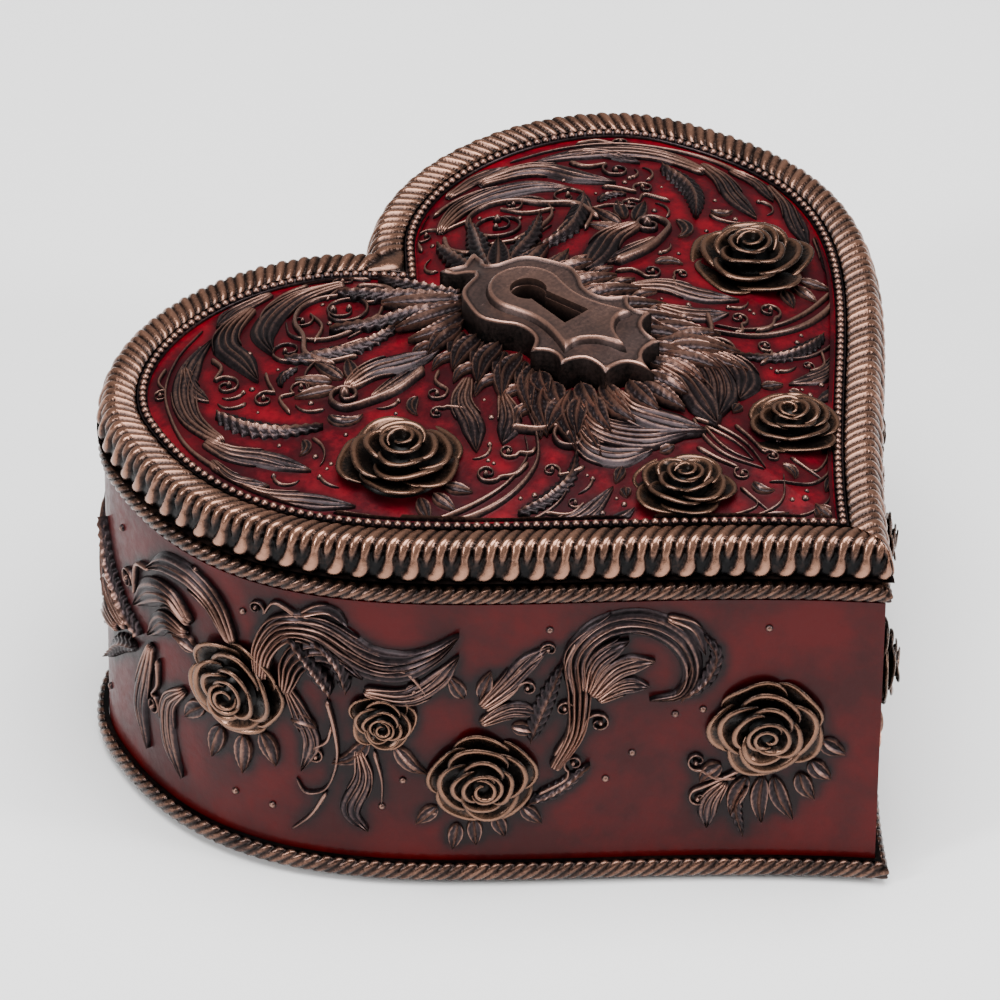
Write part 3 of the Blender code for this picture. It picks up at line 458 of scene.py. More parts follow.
    def halo(self, points, reach):
        """1 near the relief falling to 0 at reach mm, for each of points."""
        marks = np.concatenate(self.marks)
        low = np.minimum(marks.min(0), points.min(0)) - 2 * reach
        cell = 0.5
        size = np.ceil((np.maximum(marks.max(0), points.max(0)) + 2 * reach - low) / cell).astype(int) + 1
        cover = np.zeros(size)
        cells = ((marks - low) / cell).astype(int)
        cover[cells[:, 0], cells[:, 1]] = 1
        steps = max(1, int(reach / cell / 2))
        for _ in range(3):
            for axis in (0, 1):
                total = np.zeros_like(cover)
                for shift in range(-steps, steps + 1):
                    total += np.roll(cover, shift, axis)
                cover = total / (2 * steps + 1)
        at = ((points - low) / cell).astype(int)
        return np.clip(cover[at[:, 0], at[:, 1]] * 2.6, 0, 1)


# ---------------------------------------------------------------- materials
class Nodes:
    """A short way to write a node material."""

    def __init__(self, name):
        self.material = bpy.data.materials.new(name)
        self.material.use_nodes = True
        self.tree = self.material.node_tree
        self.shader = self.tree.nodes["Principled BSDF"]
        self.where = self.add("ShaderNodeTexCoord").outputs["Object"]

    def add(self, kind, **settings):
        node = self.tree.nodes.new(kind)
        for key, value in settings.items():
            setattr(node, key, value)
        return node

    def link(self, source, target):
        """Joins two sockets, or sets the target to a plain value."""
        if hasattr(source, "node"):
            self.tree.links.new(source, target)
        else:
            target.default_value = source

    def noise(self, size_mm, detail=4, rough=0.55):
        node = self.add("ShaderNodeTexNoise")
        self.link(self.where, node.inputs["Vector"])
        node.inputs["Scale"].default_value = 1 / (size_mm * MM)
        node.inputs["Detail"].default_value = detail
        node.inputs["Roughness"].default_value = rough
        return node.outputs["Fac"]

    def attribute(self, name):
        return self.add("ShaderNodeAttribute", attribute_name=name).outputs["Fac"]

    def math(self, operation, a, b=0.0, clamp=False):
        node = self.add("ShaderNodeMath", operation=operation, use_clamp=clamp)
        self.link(a, node.inputs[0])
        self.link(b, node.inputs[1])
        return node.outputs[0]

    def spread(self, value, low, high, to_low=0.0, to_high=1.0):
        """Stretches the range low to high to the range to_low to to_high."""
        node = self.add("ShaderNodeMapRange")
        self.link(value, node.inputs["Value"])
        for key, number in (("From Min", low), ("From Max", high), ("To Min", to_low), ("To Max", to_high)):
            node.inputs[key].default_value = number
        return node.outputs["Result"]

    def ramp(self, value, *stops):
        node = self.add("ShaderNodeValToRGB")
        points = node.color_ramp.elements
        while len(points) < len(stops):
            points.new(0.5)
        for point, (place, colour) in zip(points, stops):
            point.position, point.color = place, (*colour, 1)
        self.link(value, node.inputs["Fac"])
        return node.outputs["Color"]

    def mix(self, share, a, b):
        node = self.add("ShaderNodeMix", data_type="RGBA")
        self.link(share, node.inputs["Factor"])
        for socket, colour in ((node.inputs[6], a), (node.inputs[7], b)):
            self.link(colour if hasattr(colour, "node") else (*colour, 1), socket)
        return node.outputs[2]

    def bump(self, value, depth_mm, strength=1.0):
        node = self.add("ShaderNodeBump")
        node.inputs["Distance"].default_value = depth_mm * MM
        node.inputs["Strength"].default_value = strength
        self.link(value, node.inputs["Height"])
        self.link(node.outputs["Normal"], self.shader.inputs["Normal"])

    def set(self, **values):
        for key, value in values.items():
            self.link(value, self.shader.inputs[key.replace("_", " ")])
        return self.material


def srgb(r, g, b):
    """Linear colour of an sRGB colour given from 0 to 255."""
    return tuple(((c / 255 + 0.055) / 1.055) ** 2.4 if c > 10 else c / 255 / 12.92 for c in (r, g, b))


def bronze(name, copper, body, recess, dust=0.25, gloss=(0.2, 0.4)):
    """Dark cast bronze, rubbed back to copper on what stands highest. gloss is the range of
    its roughness."""
    n = Nodes(name)
    patch = n.noise(9, 3)
    grain = n.noise(0.7, 5, 0.65)
    worn = n.math("ADD", n.attribute("ridge"), n.spread(grain, 0.3, 0.7, -dust * 0.5, dust * 0.5))
    worn = n.math("ADD", worn, n.spread(patch, 0.35, 0.65, -dust * 0.4, dust * 0.4), clamp=True)
    colour = n.ramp(worn, (0.0, recess), (0.38, body), (0.66, tuple((a + b) / 2 for a, b in zip(body, copper))),
                    (1.0, copper))
    n.bump(n.math("ADD", n.spread(grain, 0, 1, 0, 0.6), n.spread(n.noise(3), 0, 1)), 0.12, 0.5)
    rough = n.spread(n.math("ADD", grain, n.math("MULTIPLY", worn, -0.35)), 0.1, 0.7, *gloss)
    return n.set(Base_Color=colour, Metallic=0.82, Roughness=rough)


def enamel(name, bright, deep, dark, mottle, coat):
    """Translucent red enamel over metal, pooled darker round the relief."""
    n = Nodes(name)
    cloud = n.noise(16, 4, 0.6)
    speck = n.noise(2.2, 5, 0.7)
    base = n.ramp(n.math("ADD", cloud, n.spread(speck, 0.3, 0.7, -mottle, mottle)), (0.36, deep), (0.62, bright))
    pooled = n.math("MULTIPLY", n.attribute("halo"), n.spread(speck, 0.25, 0.75, 0.75, 1.25), clamp=True)
    colour = n.mix(pooled, base, dark)
    n.bump(n.math("ADD", speck, n.noise(6, 2)), 0.22, 0.35)
    n.shader.inputs["Specular IOR Level"].default_value = 0.1
    return n.set(Base_Color=colour, Roughness=n.spread(speck, 0.3, 0.7, 0.3, 0.5), Coat_Weight=coat,
                 Coat_Roughness=0.07)


def metal(name, colour, dull, rough, grain_mm=1.2):
    """Plain metal with a fine grain in its colour and gloss."""
    n = Nodes(name)
    grain = n.noise(grain_mm, 6, 0.7)
    n.bump(grain, 0.02, 0.5)
    return n.set(Base_Color=n.ramp(grain, (0.35, dull), (0.65, colour)), Metallic=1.0,
                 Roughness=n.spread(grain, 0.3, 0.7, rough * 0.75, rough * 1.35))


def pile(name, colour, light, pile_mm, sheen):
    """Velvet or felt: a fine fuzzy pile with sheen."""
    n = Nodes(name)
    fibre = n.noise(pile_mm, 6, 0.8)
    nap = n.noise(14, 3)
    n.bump(fibre, 0.35, 0.8)
    n.shader.inputs["Sheen Weight"].default_value = sheen
    n.shader.inputs["Sheen Roughness"].default_value = 0.4
    return n.set(Base_Color=n.ramp(n.math("ADD", n.math("MULTIPLY", fibre, 0.6), n.math("MULTIPLY", nap, 0.4)),
                                   (0.35, colour), (0.7, light)), Roughness=0.95)


def board():
    """Brown fibreboard."""
    n = Nodes("fibreboard")
    fibre = n.noise(1.6, 6, 0.7)
    n.bump(fibre, 0.08, 0.6)
    return n.set(Base_Color=n.ramp(fibre, (0.3, srgb(38, 32, 29)), (0.7, srgb(62, 54, 48))), Roughness=0.75)


def moulded(name, colour, dark, rough):
    """Opaque moulded plastic."""
    n = Nodes(name)
    grain = n.noise(2.4, 4)
    n.bump(grain, 0.03, 0.5)
    return n.set(Base_Color=n.ramp(grain, (0.3, dark), (0.7, colour)),
                 Roughness=n.spread(grain, 0.3, 0.7, rough * 0.8, rough * 1.2))


def clear_plastic():
    n = Nodes("clear_cover")
    grain = n.noise(9, 3)
    n.bump(grain, 0.05, 0.3)
    n.shader.inputs["IOR"].default_value = 1.49
    n.shader.inputs["Transmission Weight"].default_value = 1.0
    return n.set(Base_Color=(0.96, 0.97, 0.97, 1), Roughness=n.spread(grain, 0.3, 0.7, 0.02, 0.06))


COPPER, BODY, RECESS = srgb(140, 104, 90), srgb(46, 36, 38), srgb(9, 7, 9)
RIM_METAL = bronze("rim_bronze", srgb(152, 110, 90), srgb(54, 39, 34), srgb(8, 7, 8))
RELIEF_METAL = bronze("relief_bronze", COPPER, BODY, RECESS, 0.25, (0.27, 0.48))
ROSE_METAL = bronze("rose_bronze", srgb(124, 90, 72), srgb(32, 25, 22), srgb(8, 7, 7))
PLATE_METAL = bronze("plate_bronze", COPPER, srgb(72, 57, 54), srgb(8, 7, 7), 0.15, (0.34, 0.5))
LID_ENAMEL = enamel("lid_enamel", srgb(104, 2, 17), srgb(60, 1, 10), srgb(20, 4, 7), 0.16, 0.13)
# The walls' red is the lid's enamel made darker: painted shade for the upright sides, which take less light than
# the lid.
WALL_ENAMEL_SHADED = enamel("wall_enamel_painted_shade", srgb(66, 0, 1), srgb(44, 0, 1), srgb(16, 2, 4), 0.05, 0.12)
VELVET = pile("velvet", srgb(8, 5, 6), srgb(20, 13, 16), 0.35, 0.08)
FELT = pile("felt", srgb(9, 9, 10), srgb(26, 25, 27), 0.6, 0.3)
AGED = metal("aged_steel", (0.30, 0.25, 0.22), (0.16, 0.13, 0.12), 0.36)
STEEL = metal("nickel_steel", (0.62, 0.62, 0.64), (0.45, 0.45, 0.47), 0.28)
SPRING = metal("blued_spring_steel", (0.30, 0.32, 0.37), (0.20, 0.22, 0.27), 0.3)
BRASS = metal("brass", (0.72, 0.52, 0.23), (0.66, 0.47, 0.20), 0.3, 0.5)
ZINC = metal("gilt_zinc", (0.66, 0.58, 0.42), (0.52, 0.45, 0.32), 0.4, 2.5)
BOARD = board()
PLASTIC = moulded("white_nylon", srgb(226, 222, 210), srgb(205, 200, 188), 0.4)
CLEAR = clear_plastic()


# ---------------------------------------------------------------- box
def band(builder, ring, offsets, heights, ridge=0.3, flip=False):
    """A plain section swept round the heart."""
    builder.grid(ring.sweep(offsets, heights), ridge, closed=True, flip=flip)


def build_walls(halo_at):
    """The enamelled wall, its rebate, inside and floor."""
    ring = Ring(0.9)
    levels = 82
    heights = np.linspace(SHELL_BOTTOM, ROPE_BOTTOM - 0.25, levels)
    walls = Builder()
    outer = ring.sweep([0] * levels, heights)
    walls.grid(outer, 0.3, closed=True, flip=True)
    rest = [(0, heights[-1]), (-REBATE, heights[-1]), (-REBATE, BOX_TOP), (-WALL, BOX_TOP), (-WALL, FLOOR_TOP)]
    band(walls, ring, *zip(*rest), flip=True)
    under = [(-WALL, FLOOR_BOTTOM), (-WALL, SHELL_BOTTOM), (0, SHELL_BOTTOM)]
    band(walls, ring, *zip(*under), flip=True)
    walls.cap(ring.sweep([-WALL], [FLOOR_TOP])[0], flip=True)
    walls.cap(ring.sweep([-WALL], [FLOOR_BOTTOM])[0])
    halo = np.zeros(walls.count)
    points = np.stack([np.broadcast_to(ring.tip_run, outer.shape[:2]), outer[:, :, 2]], -1).reshape(-1, 2)
    halo[:len(points)] = halo_at(points, 2.4)
    walls.build("box_walls", "box", "red_enamel", WALL_ENAMEL_SHADED, ["box_shell"], halo=halo)


def rope(name, node, section, depth, ring):
    """A twisted rope moulding. section is (centre offset, centre height, half width, half height)."""
    offset, z, wide, high = section
    pitch, slant = 2.3, 0.95
    angle = np.linspace(math.radians(-100), math.radians(100), 18)
    normals = unit(np.stack([np.cos(angle) / wide, np.sin(angle) / high], 1))
    offsets, heights = offset + wide * np.cos(angle), z + high * np.sin(angle)
    phase = ring.tip_run[None, :] / pitch + slant * ((heights - z) / high)[:, None]
    across = 2 * (phase % 1) - 1
    rise = np.sqrt(np.clip(1 - np.abs(across) ** 2.2, 0, 1))
    cord = Builder()
    cord.grid(ring.sweep(offsets, heights, (rise - 1) * depth, normals), 0.55 * rise ** 2, closed=True, flip=True)
    band(cord, ring, [offsets[-1], offset - wide, offset - wide, offsets[0]],
         [heights[-1], z + high * 0.98, z - high * 0.98, heights[0]], 0.05, flip=True)
    cord.build(name, "box", "dark_bronze", RIM_METAL, [node])


def build_soft():
    """The velvet of the inside, with a rolled top edge and a rounded foot, and the lid's lining."""
    ring = Ring(2.0)
    liner = Builder()
    profile = [(-WALL - 0.25, FLOOR_TOP + 0.25), (-WALL - 0.25, 65.6), (-WALL - 0.6, 66.0), (-WALL - 1.1, 65.6)]
    wall = np.array(profile + [(-WALL - 1.2, z) for z in (60, 50, 40, 30, 23)]
                    + [(-WALL - 1.5, 21.4), (-WALL - 2.6, 20.6), (-WALL - 4.5, 20.3)])
    band(liner, ring, wall[:, 0], wall[:, 1], flip=True)
    liner.cap(ring.sweep([-WALL - 4.5], [20.3])[0], flip=True)
    liner.build("velvet_inside", "box", "black_velvet", VELVET, ["velvet_liner"])

    lining = Builder()
    edge = np.array([(PANEL_INSET, PANEL_BOTTOM - 0.25), (PANEL_INSET, LINING_BOTTOM + 0.5),
                     (PANEL_INSET - 0.5, LINING_BOTTOM), (PANEL_INSET - 4, LINING_BOTTOM)])
    band(lining, ring, edge[:, 0], edge[:, 1])
    lining.cap(ring.sweep([PANEL_INSET - 4], [LINING_BOTTOM])[0])
    lining.cap(ring.sweep([PANEL_INSET], [PANEL_BOTTOM - 0.25])[0], flip=True)
    lining.build("velvet_lid_lining", "lid", "black_velvet", VELVET, ["lid_lining"])


# ---------------------------------------------------------------- lid
def gadroon(run, t):
    """Relief from 0 to 1 of the rim at a distance from the tip and a share t of the way from its
    inner edge to its foot: long S-shaped lobes, with a short drop between each pair."""
    pitch = 4.7
    lean = np.interp(t, [0, 0.2, 0.42, 0.62, 0.82, 1], [3.3, 1.8, 0.4, 0.0, -0.2, -1.3])
    place = (run + 0.8 + lean) / pitch
    long_away = np.abs((place + 0.5) % 1 - 0.5) * pitch
    short_away = np.abs(place % 1 - 0.5) * pitch
    long_half = np.interp(t, [0, 0.15, 0.42, 0.66, 0.9, 1], [1.1, 1.25, 1.25, 0.85, 1.6, 1.5])
    long_high = np.interp(t, [0, 0.06, 0.4, 0.66, 0.9, 0.98, 1], [0.7, 0.9, 1, 0.85, 1, 0.75, 0.1])
    short_half = np.interp(t, [0, 0.15, 0.46, 0.64, 0.8], [1.05, 1.2, 1.15, 0.85, 0.02])
    short_high = np.interp(t, [0, 0.06, 0.46, 0.64, 0.8], [0.6, 0.8, 0.88, 0.65, 0])
    long_rise = long_high * np.sqrt(np.clip(1 - (long_away / long_half) ** 2, 0, 1))
    short_rise = short_high * np.sqrt(np.clip(1 - (short_away / short_half) ** 2, 0, 1))
    return np.maximum(long_rise, short_rise)


def build_rim():
    """The lid's gadrooned rim: a low inner slope that meets the panel, and a tall outer side."""
    ring = Ring(0.34)
    angle = np.radians(np.linspace(158, -12, 50))
    inside = angle > math.pi / 2
    offsets = RIM_CENTRE + np.where(inside, 4.45, RIM_HALF_WIDTH) * np.cos(angle)
    heights = np.where(inside, 77.9 + 1.5 * np.sin(angle), RIM_MID_Z + RIM_HALF_HEIGHT * np.sin(angle))
    steps = run_along(np.stack([offsets, heights], 1))
    normals = unit(np.stack([-np.gradient(heights), np.gradient(offsets)], 1))
    t = (steps / steps[-1])[:, None]
    rise = gadroon(ring.tip_run[None, :], t)
    depth = 1.15 * np.interp(t, [0, 0.08], [0.7, 1])
    rim = Builder()
    rim.grid(ring.sweep(offsets, heights, (rise - 1) * depth, normals), rise ** 1.6, closed=True)
    section = [(RIM_INNER, LID_BOTTOM), (offsets[0], PANEL_EDGE - 0.3), (offsets[0], heights[0])]
    band(rim, ring, *zip(*section), 0.1)
    band(rim, ring, [offsets[-1], offsets[-1] - 1.2, RIM_INNER], [heights[-1], LID_BOTTOM, LID_BOTTOM], 0.1)
    rim.build("lid_gadroon_rim", "lid", "dark_bronze", RIM_METAL, ["lid_rim"])


def build_beads():
    """A row of beads in a dark channel round the panel."""
    row = Builder()
    ring = Ring(1.2)
    section = [(-6.5, PANEL_EDGE + 0.25), (-6.5, 78.15), (-6.7, 78.2), (-6.9, 77.95), (-8.2, 77.95), (-8.35, 78.3),
               (-8.5, 78.1), (-8.5, PANEL_EDGE + 0.25)]
    band(row, ring, *zip(*section), 0.32, flip=True)
    pitch, radius, level = 1.85, 0.78, 78.35
    path = Ring(0.5).loop(-7.55)
    path = np.concatenate([path, path[:1]])
    run = run_along(path)
    count = int(run[-1] / pitch)
    a = circle(10)
    e = np.linspace(-0.6, math.pi / 2, 6)[:, None]
    ball = np.stack([np.cos(e) * np.cos(a), np.cos(e) * np.sin(a), np.sin(e) * np.ones(10)], -1) * radius
    ridge = 0.15 + 0.8 * np.clip(np.sin(e), 0, 1) ** 0.7
    for s in np.arange(count) * run[-1] / count:
        spot = [np.interp(s, run, path[:, 0]), np.interp(s, run, path[:, 1]), level]
        row.grid(ball + spot, ridge, closed=True)
    row.build("lid_bead_row", "lid", "dark_bronze", RELIEF_METAL, ["lid_bead_trim"])


def build_dome(halo_at):
    """The lid's enamelled panel."""
    ring = Ring(0.75)
    edge = ring.loop(DOME_INSET)
    points = []
    for share in np.linspace(1, 0.004, 110):
        plan = DOME_CENTRE + (edge - DOME_CENTRE) * share
        height = np.full((len(plan), 1), PANEL_EDGE + DOME_RISE * (1 - share ** 2))
        points.append(np.concatenate([plan, height], 1))
    points = np.array(points)
    panel = Builder()
    panel.grid(points, 0.3, closed=True, flip=True)
    band(panel, ring, [PANEL_INSET, PANEL_INSET, DOME_INSET],
         [PANEL_BOTTOM, PANEL_EDGE - 0.25, PANEL_EDGE], flip=True)
    panel.cap(ring.sweep([PANEL_INSET], [PANEL_BOTTOM])[0])
    halo = np.zeros(panel.count)
    plan = points[:, :, :2].reshape(-1, 2)
    halo[:len(plan)] = halo_at(plan, 2.2) * 0.75
    panel.build("lid_dome", "lid", "red_enamel", LID_ENAMEL, ["lid_panel"], halo=halo)


# ---------------------------------------------------------------- roses
# Rings of petals from the outside in, in a rose of radius 1 and height 1: count, radius of lip
# and base, height of lip and base, and how far the lip rolls.
PETALS = [(5, 0.89, 0.36, 0.22, 0.10, 0.045), (4, 0.70, 0.27, 0.50, 0.15, 0.055),
          (4, 0.48, 0.16, 0.76, 0.30, 0.05), (2, 0.29, 0.09, 0.93, 0.50, 0.04)]
CUP_SHARE = 0.62                    # of a petal's length, before its lip starts to roll
LIP_TURN = math.radians(215)


def petal(middle, span, lip_r, base_r, lip_z, base_z, roll, wave, spiral=0.1):
    """One cupped petal about +Z in a unit rose, with its lip rolled outwards."""
    a = np.linspace(-1, 1, 19)[None, :]
    b = np.linspace(0, 1, 15)[:, None]
    cup = np.minimum(b / CUP_SHARE, 1)
    turn = np.clip((b - CUP_SHARE) / (1 - CUP_SHARE), 0, 1) * LIP_TURN
    lip = lip_r * (1 + spiral * a + 0.05 * np.sin(4.2 * a + wave) + 0.06 * (1 - np.abs(a) ** 1.3))
    lip = lip - 0.16 * lip_r * np.abs(a) ** 3
    top = lip_z - 0.17 * np.abs(a) ** 2.5 + 0.04 * np.sin(3.4 * a + 2 * wave)
    curl = roll * (1 - 0.45 * np.abs(a) ** 4)
    radius = base_r + (lip - base_r) * cup ** 0.85 + curl * (1 - np.cos(turn))
    height = base_z + (top - base_z) * cup ** 1.45 + 1.3 * curl * np.sin(turn)
    angle = middle + a * span * (0.55 + 0.45 * cup ** 0.5)
    points = np.stack([radius * np.cos(angle), radius * np.sin(angle), height], -1)
    ridge = 0.12 + 0.3 * cup + 0.62 * np.exp(-((b - 0.74) / 0.1) ** 2) * (1 - 0.55 * np.abs(a) ** 2)
    return points, np.broadcast_to(np.clip(ridge, 0, 1), points.shape[:2])


def rose_patches(seed):
    """The petals, the coiled heart and the mound under them, as (points, ridge)."""
    rng = np.random.RandomState(seed)
    patches = []
    turn = rng.uniform(0, 2 * math.pi)
    for count, lip_r, base_r, lip_z, base_z, roll in PETALS:
        for i in range(count):
            middle = turn + 2 * math.pi * (i + rng.uniform(-0.06, 0.06)) / count
            patches.append(petal(middle, math.pi / count * 1.32, lip_r * rng.uniform(0.96, 1.03), base_r,
                                 lip_z + rng.uniform(-0.03, 0.03), base_z, roll, rng.uniform(0, 6)))
        turn += math.pi / count + 0.5
    patches.append(petal(turn, 3.6, 0.145, 0.07, 1.0, 0.6, 0.035, 0.3, 0.55))
    a = circle(24)
    steps = ((0.8, -0.3), (0.76, 0.02), (0.55, 0.14), (0.36, 0.38), (0.2, 0.7), (0.08, 0.86), (0.001, 0.88))
    mound = np.array([np.stack([r * np.cos(a), r * np.sin(a), np.full(24, z)], 1) for r, z in steps])
    patches.append((np.concatenate([mound, mound[:, :1]], 1), 0.03))
    return patches


def add_rose(name, node, body, frame_at, radius, height, seed):
    """frame_at is the rose's origin in mm and its unit vectors across, upwards and outwards."""
    origin, *axes = frame_at
    flower = Builder()
    for points, ridge in rose_patches(seed):
        flower.grid(origin + points * [radius, radius, height] @ np.array(axes), ridge)
    flower.build(name, body, "dark_bronze", ROSE_METAL, [node])


def build_roses():
    x, y, z = np.eye(3)
    for i, (px, py, radius, height) in enumerate(LID_ROSES):
        for side, word in SIDES:
            seat = on_lid(side)(np.array([px, py]), np.array(0.0))
            add_rose(f"lid_flower_{word}_{i + 1}", f"lid_rose_{word}_{i + 1}", "lid", (seat, x, y, z),
                     radius, height * 0.93, 11 * i + 5 + side)
    for i, (run, level, radius, height) in enumerate(SIDE_ROSES):
        for side, word in SIDES:
            point, normal = at_run(np.array(TOTAL - run))
            out = np.array([side * normal[0], normal[1], 0])
            add_rose(f"side_flower_{word}_{i + 1}", f"side_rose_{word}_{i + 1}", "box",
                     (np.array([side * point[0], point[1], level]), np.cross(z, out), z, out),
                     radius, height * 0.95, 40 + 7 * i + side)


# ---------------------------------------------------------------- foliage
def lid_foliage(side):
    """One half of the lid's ornament, in (distance from the middle line, y)."""
    r = Relief(on_lid, side)
    for x, y, radius, _ in LID_ROSES:
        r.disc((x, y), radius)
    # Swirls and flame leaves of the lobe.
    r.plume([(66, 8), (65, 17), (60, 25), (52, 31), (44, 34)], 1.9, 1.8, 4)
    r.plume([(31, 36), (39, 34), (44, 30), (46, 23), (49, 16)], 2.2, 2.0, 5)
    r.plume([(13, 29), (21, 32), (30, 31), (37, 27), (41, 20)], 2.2, 2.0, 5)
    r.plume([(24, 38), (33, 39), (40, 37)], 1.6, 1.5, 4)
    r.plume([(54, 31), (58, 25), (59, 19)], 1.4, 1.5, 4)
    r.curl((22, 21), 9.5, 20, 1.15, 0.75, 1.5, [(36, 8), (37, 15), (33, 20)])
    r.curl((21, 21), 5.5, 200, -1.0, 0.6, 1.3, [(12, 27), (9, 22), (11, 17)])
    r.curl((38, 19), 4.0, -60, 1.2, 0.5, 1.2, [(31, 7), (36, 10), (39, 14)])
    r.curl((53.5, 20), 3.2, 90, 1.3, 0.5, 1.2, [(49, 29), (50, 25)])
    r.curl((52, 11), 2.6, 180, -1.2, 0.45, 1.1, [(46, 17), (48, 14)])
    r.curl((45, 8), 2.4, 0, 1.3, 0.45, 1.0, [(52, 4), (50, 9)])
    r.curl((29, 25), 2.8, 180, 1.2, 0.45, 1.1, [(33, 17), (28, 20)])
    r.curl((11, 31), 3.0, -40, 1.2, 0.45, 1.0, [(20, 27), (17, 28)])
    r.curl((63, 28), 1.9, 150, -1.2, 0.4, 1.0, [(56, 34), (60, 32)])
    r.strand([(72, 2), (71, 12), (67, 21), (61, 29), (52, 35), (42, 38.5)], 0.5, 1.0)
    r.strand([(17, 35), (24, 35.5), (31, 33.5), (36, 29)], 0.5, 1.1)
    r.strand([(26, 10), (33, 12), (41, 11), (46, 5)], 0.5, 1.1)
    r.strand([(18, 14), (25, 14), (31, 16), (34, 22), (31, 27)], 0.6, 1.3)
    r.strand([(14, 17), (21, 13), (28, 13)], 0.5, 1.1)
    r.strand([(7, 28), (11, 34), (18, 38)], 0.5, 1.0)
    # Wheat, feathers and leaves between the swirls and the rose.
    r.feather([(61, 15), (60, 8), (57, 2), (51, -4)], 2.6, 1.8, 1.9)
    r.feather([(41, 17), (36, 13), (28, 9), (17, 8)], 2.5, 1.9, 2.0)
    r.plume([(68, 11), (67, 4), (64, -2), (61, -11)], 1.8, 1.6, 4)
    r.plume([(73, -3), (71, -10), (67, -16), (62, -24)], 1.7, 1.5, 4)
    r.plume([(71, 6), (72, -1), (69, -8)], 1.3, 1.4, 4)
    r.plume([(66, -22), (63, -28), (58, -34)], 1.2, 1.3, 3)
    r.leaves([(40, 5, 44, 11), (41, 3, 48, 7), (38, 4, 38, 12), (37, 2, 33, 8)], 1.6, 1.6)
    r.curl((41.5, -0.5), 3.6, -30, 1.35, 0.95, 2.0, [(26, -6), (35, -6.5), (43, -4)])
    r.plume([(40, 1), (33, 1.5), (27, -1), (20, -4)], 2.4, 2.2, 5)
    r.plume([(39, -5), (32, -5), (25, -5)], 1.6, 1.8, 4)
    # Leaves that radiate from the keyhole plate, in two layers.
    r.feather([(5, 5), (9, 13), (14, 20), (18, 26)], 3.0, 2.3, 2.1, 0.6)
    r.feather([(3.5, 7), (5.5, 14), (7, 20), (8, 25)], 2.5, 2.2, 2.0, 0.6)
    r.feather([(6, 4), (13, 9), (21, 12), (29, 17)], 2.7, 2.1, 2.1, 0.4)
    r.leaf([(5, 6), (10, 10), (16, 16)], 2.6, 2.6, 0.9)
    r.leaf([(6, 3), (13, 5), (21, 7)], 2.5, 2.5, 0.9)
    r.leaf([(8, 1), (15, 0.5), (22, 2.5)], 2.3, 2.3, 0.8)
    for k in range(7):
        y = -1 - 5.0 * k
        start = 11.5 - 0.5 * k + 3 * (k > 4)
        reach = 12.5 - 0.5 * abs(k - 3)
        drop = 2.5 + 1.6 * k
        r.leaf([(start, y), (start + reach * 0.55, y - drop * 0.3), (start + reach, y - drop)],
               2.2, 2.3, 0.7 - 0.3 * (k % 2))
        r.leaf([(start + 1, y - 2.2), (start + reach * 0.45, y - 2.4 - drop * 0.5),
                (start + reach * 0.78, y - 3.2 - drop * 1.1)], 1.8, 1.9, 0.25)
        r.leaf([(start + reach * 0.5, y - drop * 0.3), (start + reach * 0.9, y + 1.4 - drop * 0.3),
                (start + reach * 1.2, y + 1.2 - drop * 0.5)], 1.4, 1.5, 0.1)
    r.plume([(22, -14), (28, -18), (31, -24), (36, -30)], 1.9, 1.7, 4)
    r.plume([(21, -22), (25, -28), (31, -32)], 1.8, 1.7, 4)
    r.curl((29.5, -12.5), 2.4, 200, 1.2, 0.45, 1.1, [(24, -8), (27, -10)])
    r.curl((33.5, -17), 1.8, 180, -1.2, 0.4, 1.0, [(29, -20), (31, -17)])
    # Long double arcs below the large rose, with their sprigs and curls.
    r.strand([(62, -33), (56, -38), (48, -41.5), (39, -42.5), (30, -40), (24, -34), (21, -29)], 0.8, 1.5)
    r.strand([(54, -37.5), (45, -39.6), (37, -39.8), (30, -37.5), (26, -33)], 0.5, 1.2)
    r.curl((38.5, -35.5), 2.7, 250, 1.3, 0.5, 1.2, [(31, -39), (35, -39.5)])
    r.curl((31.5, -34), 2.2, 240, 1.2, 0.45, 1.1, [(27, -37), (29, -37.5)])
    r.leaves([(52, -31, 55, -36.5), (49.5, -32, 49.5, -38), (46.5, -32, 44, -37)], 1.5, 1.3)
    r.strand([(56, -41), (50, -46), (42, -49.5), (34, -50), (27, -47)], 0.5, 1.1)
    r.feather([(42, -47), (35, -48), (28, -47), (22, -43)], 1.9, 1.6, 1.6)
    r.curl((29.5, -43.3), 2.0, 260, -1.2, 0.45, 1.0, [(24, -47), (27, -46.5)])
    r.curl((20.5, -40), 3.8, 90, -1.1, 0.7, 1.6, [(27, -30), (24, -34)], 0.3)
    r.plume([(46, -50), (40, -53.5), (33, -55.5), (24, -54.5)], 1.6, 1.4, 4)
    r.plume([(36, -58), (31, -60.5), (25, -61)], 1.3, 1.3, 3)
    r.curl((32, -52), 1.7, 240, 1.1, 0.4, 0.9, [(38, -50), (35, -53.5)])
    # Plumes from under the plate, sweeping between the lower roses.
    r.plume([(13, -34), (15, -41), (12, -48), (4, -55)], 2.5, 2.0, 6, 0.5, 0.4)
    r.plume([(6, -37), (7.5, -43), (5, -50), (1.5, -57)], 2.7, 2.4, 5, 0.5, 0.5)
    r.plume([(18, -38), (20, -44), (18, -49), (12, -53)], 2.3, 1.8, 5, 0.4)
    r.leaves([(10, -35, 15, -45), (12, -34, 20, -41), (7.5, -36, 9.5, -46), (14, -32, 23, -36)],
             2.2, 2.3, 1.0, (0.8, 0))
    r.leaves([(9, -31, 13, -39.5), (12.5, -27, 17, -34), (6, -34, 9, -44), (2, -37, 4, -47), (12, -23, 16, -29)],
             2.4, 2.4, 0.9, (0.5, 0))
    if side > 0:
        r.leaf([(0, -38), (0, -43), (0, -50)], 2.2, 2.4, 0.9)
    r.leaves([(19, -52, 23, -54), (11, -54, 8, -55), (22.5, -56, 24, -58)], 1.2, 1.4)
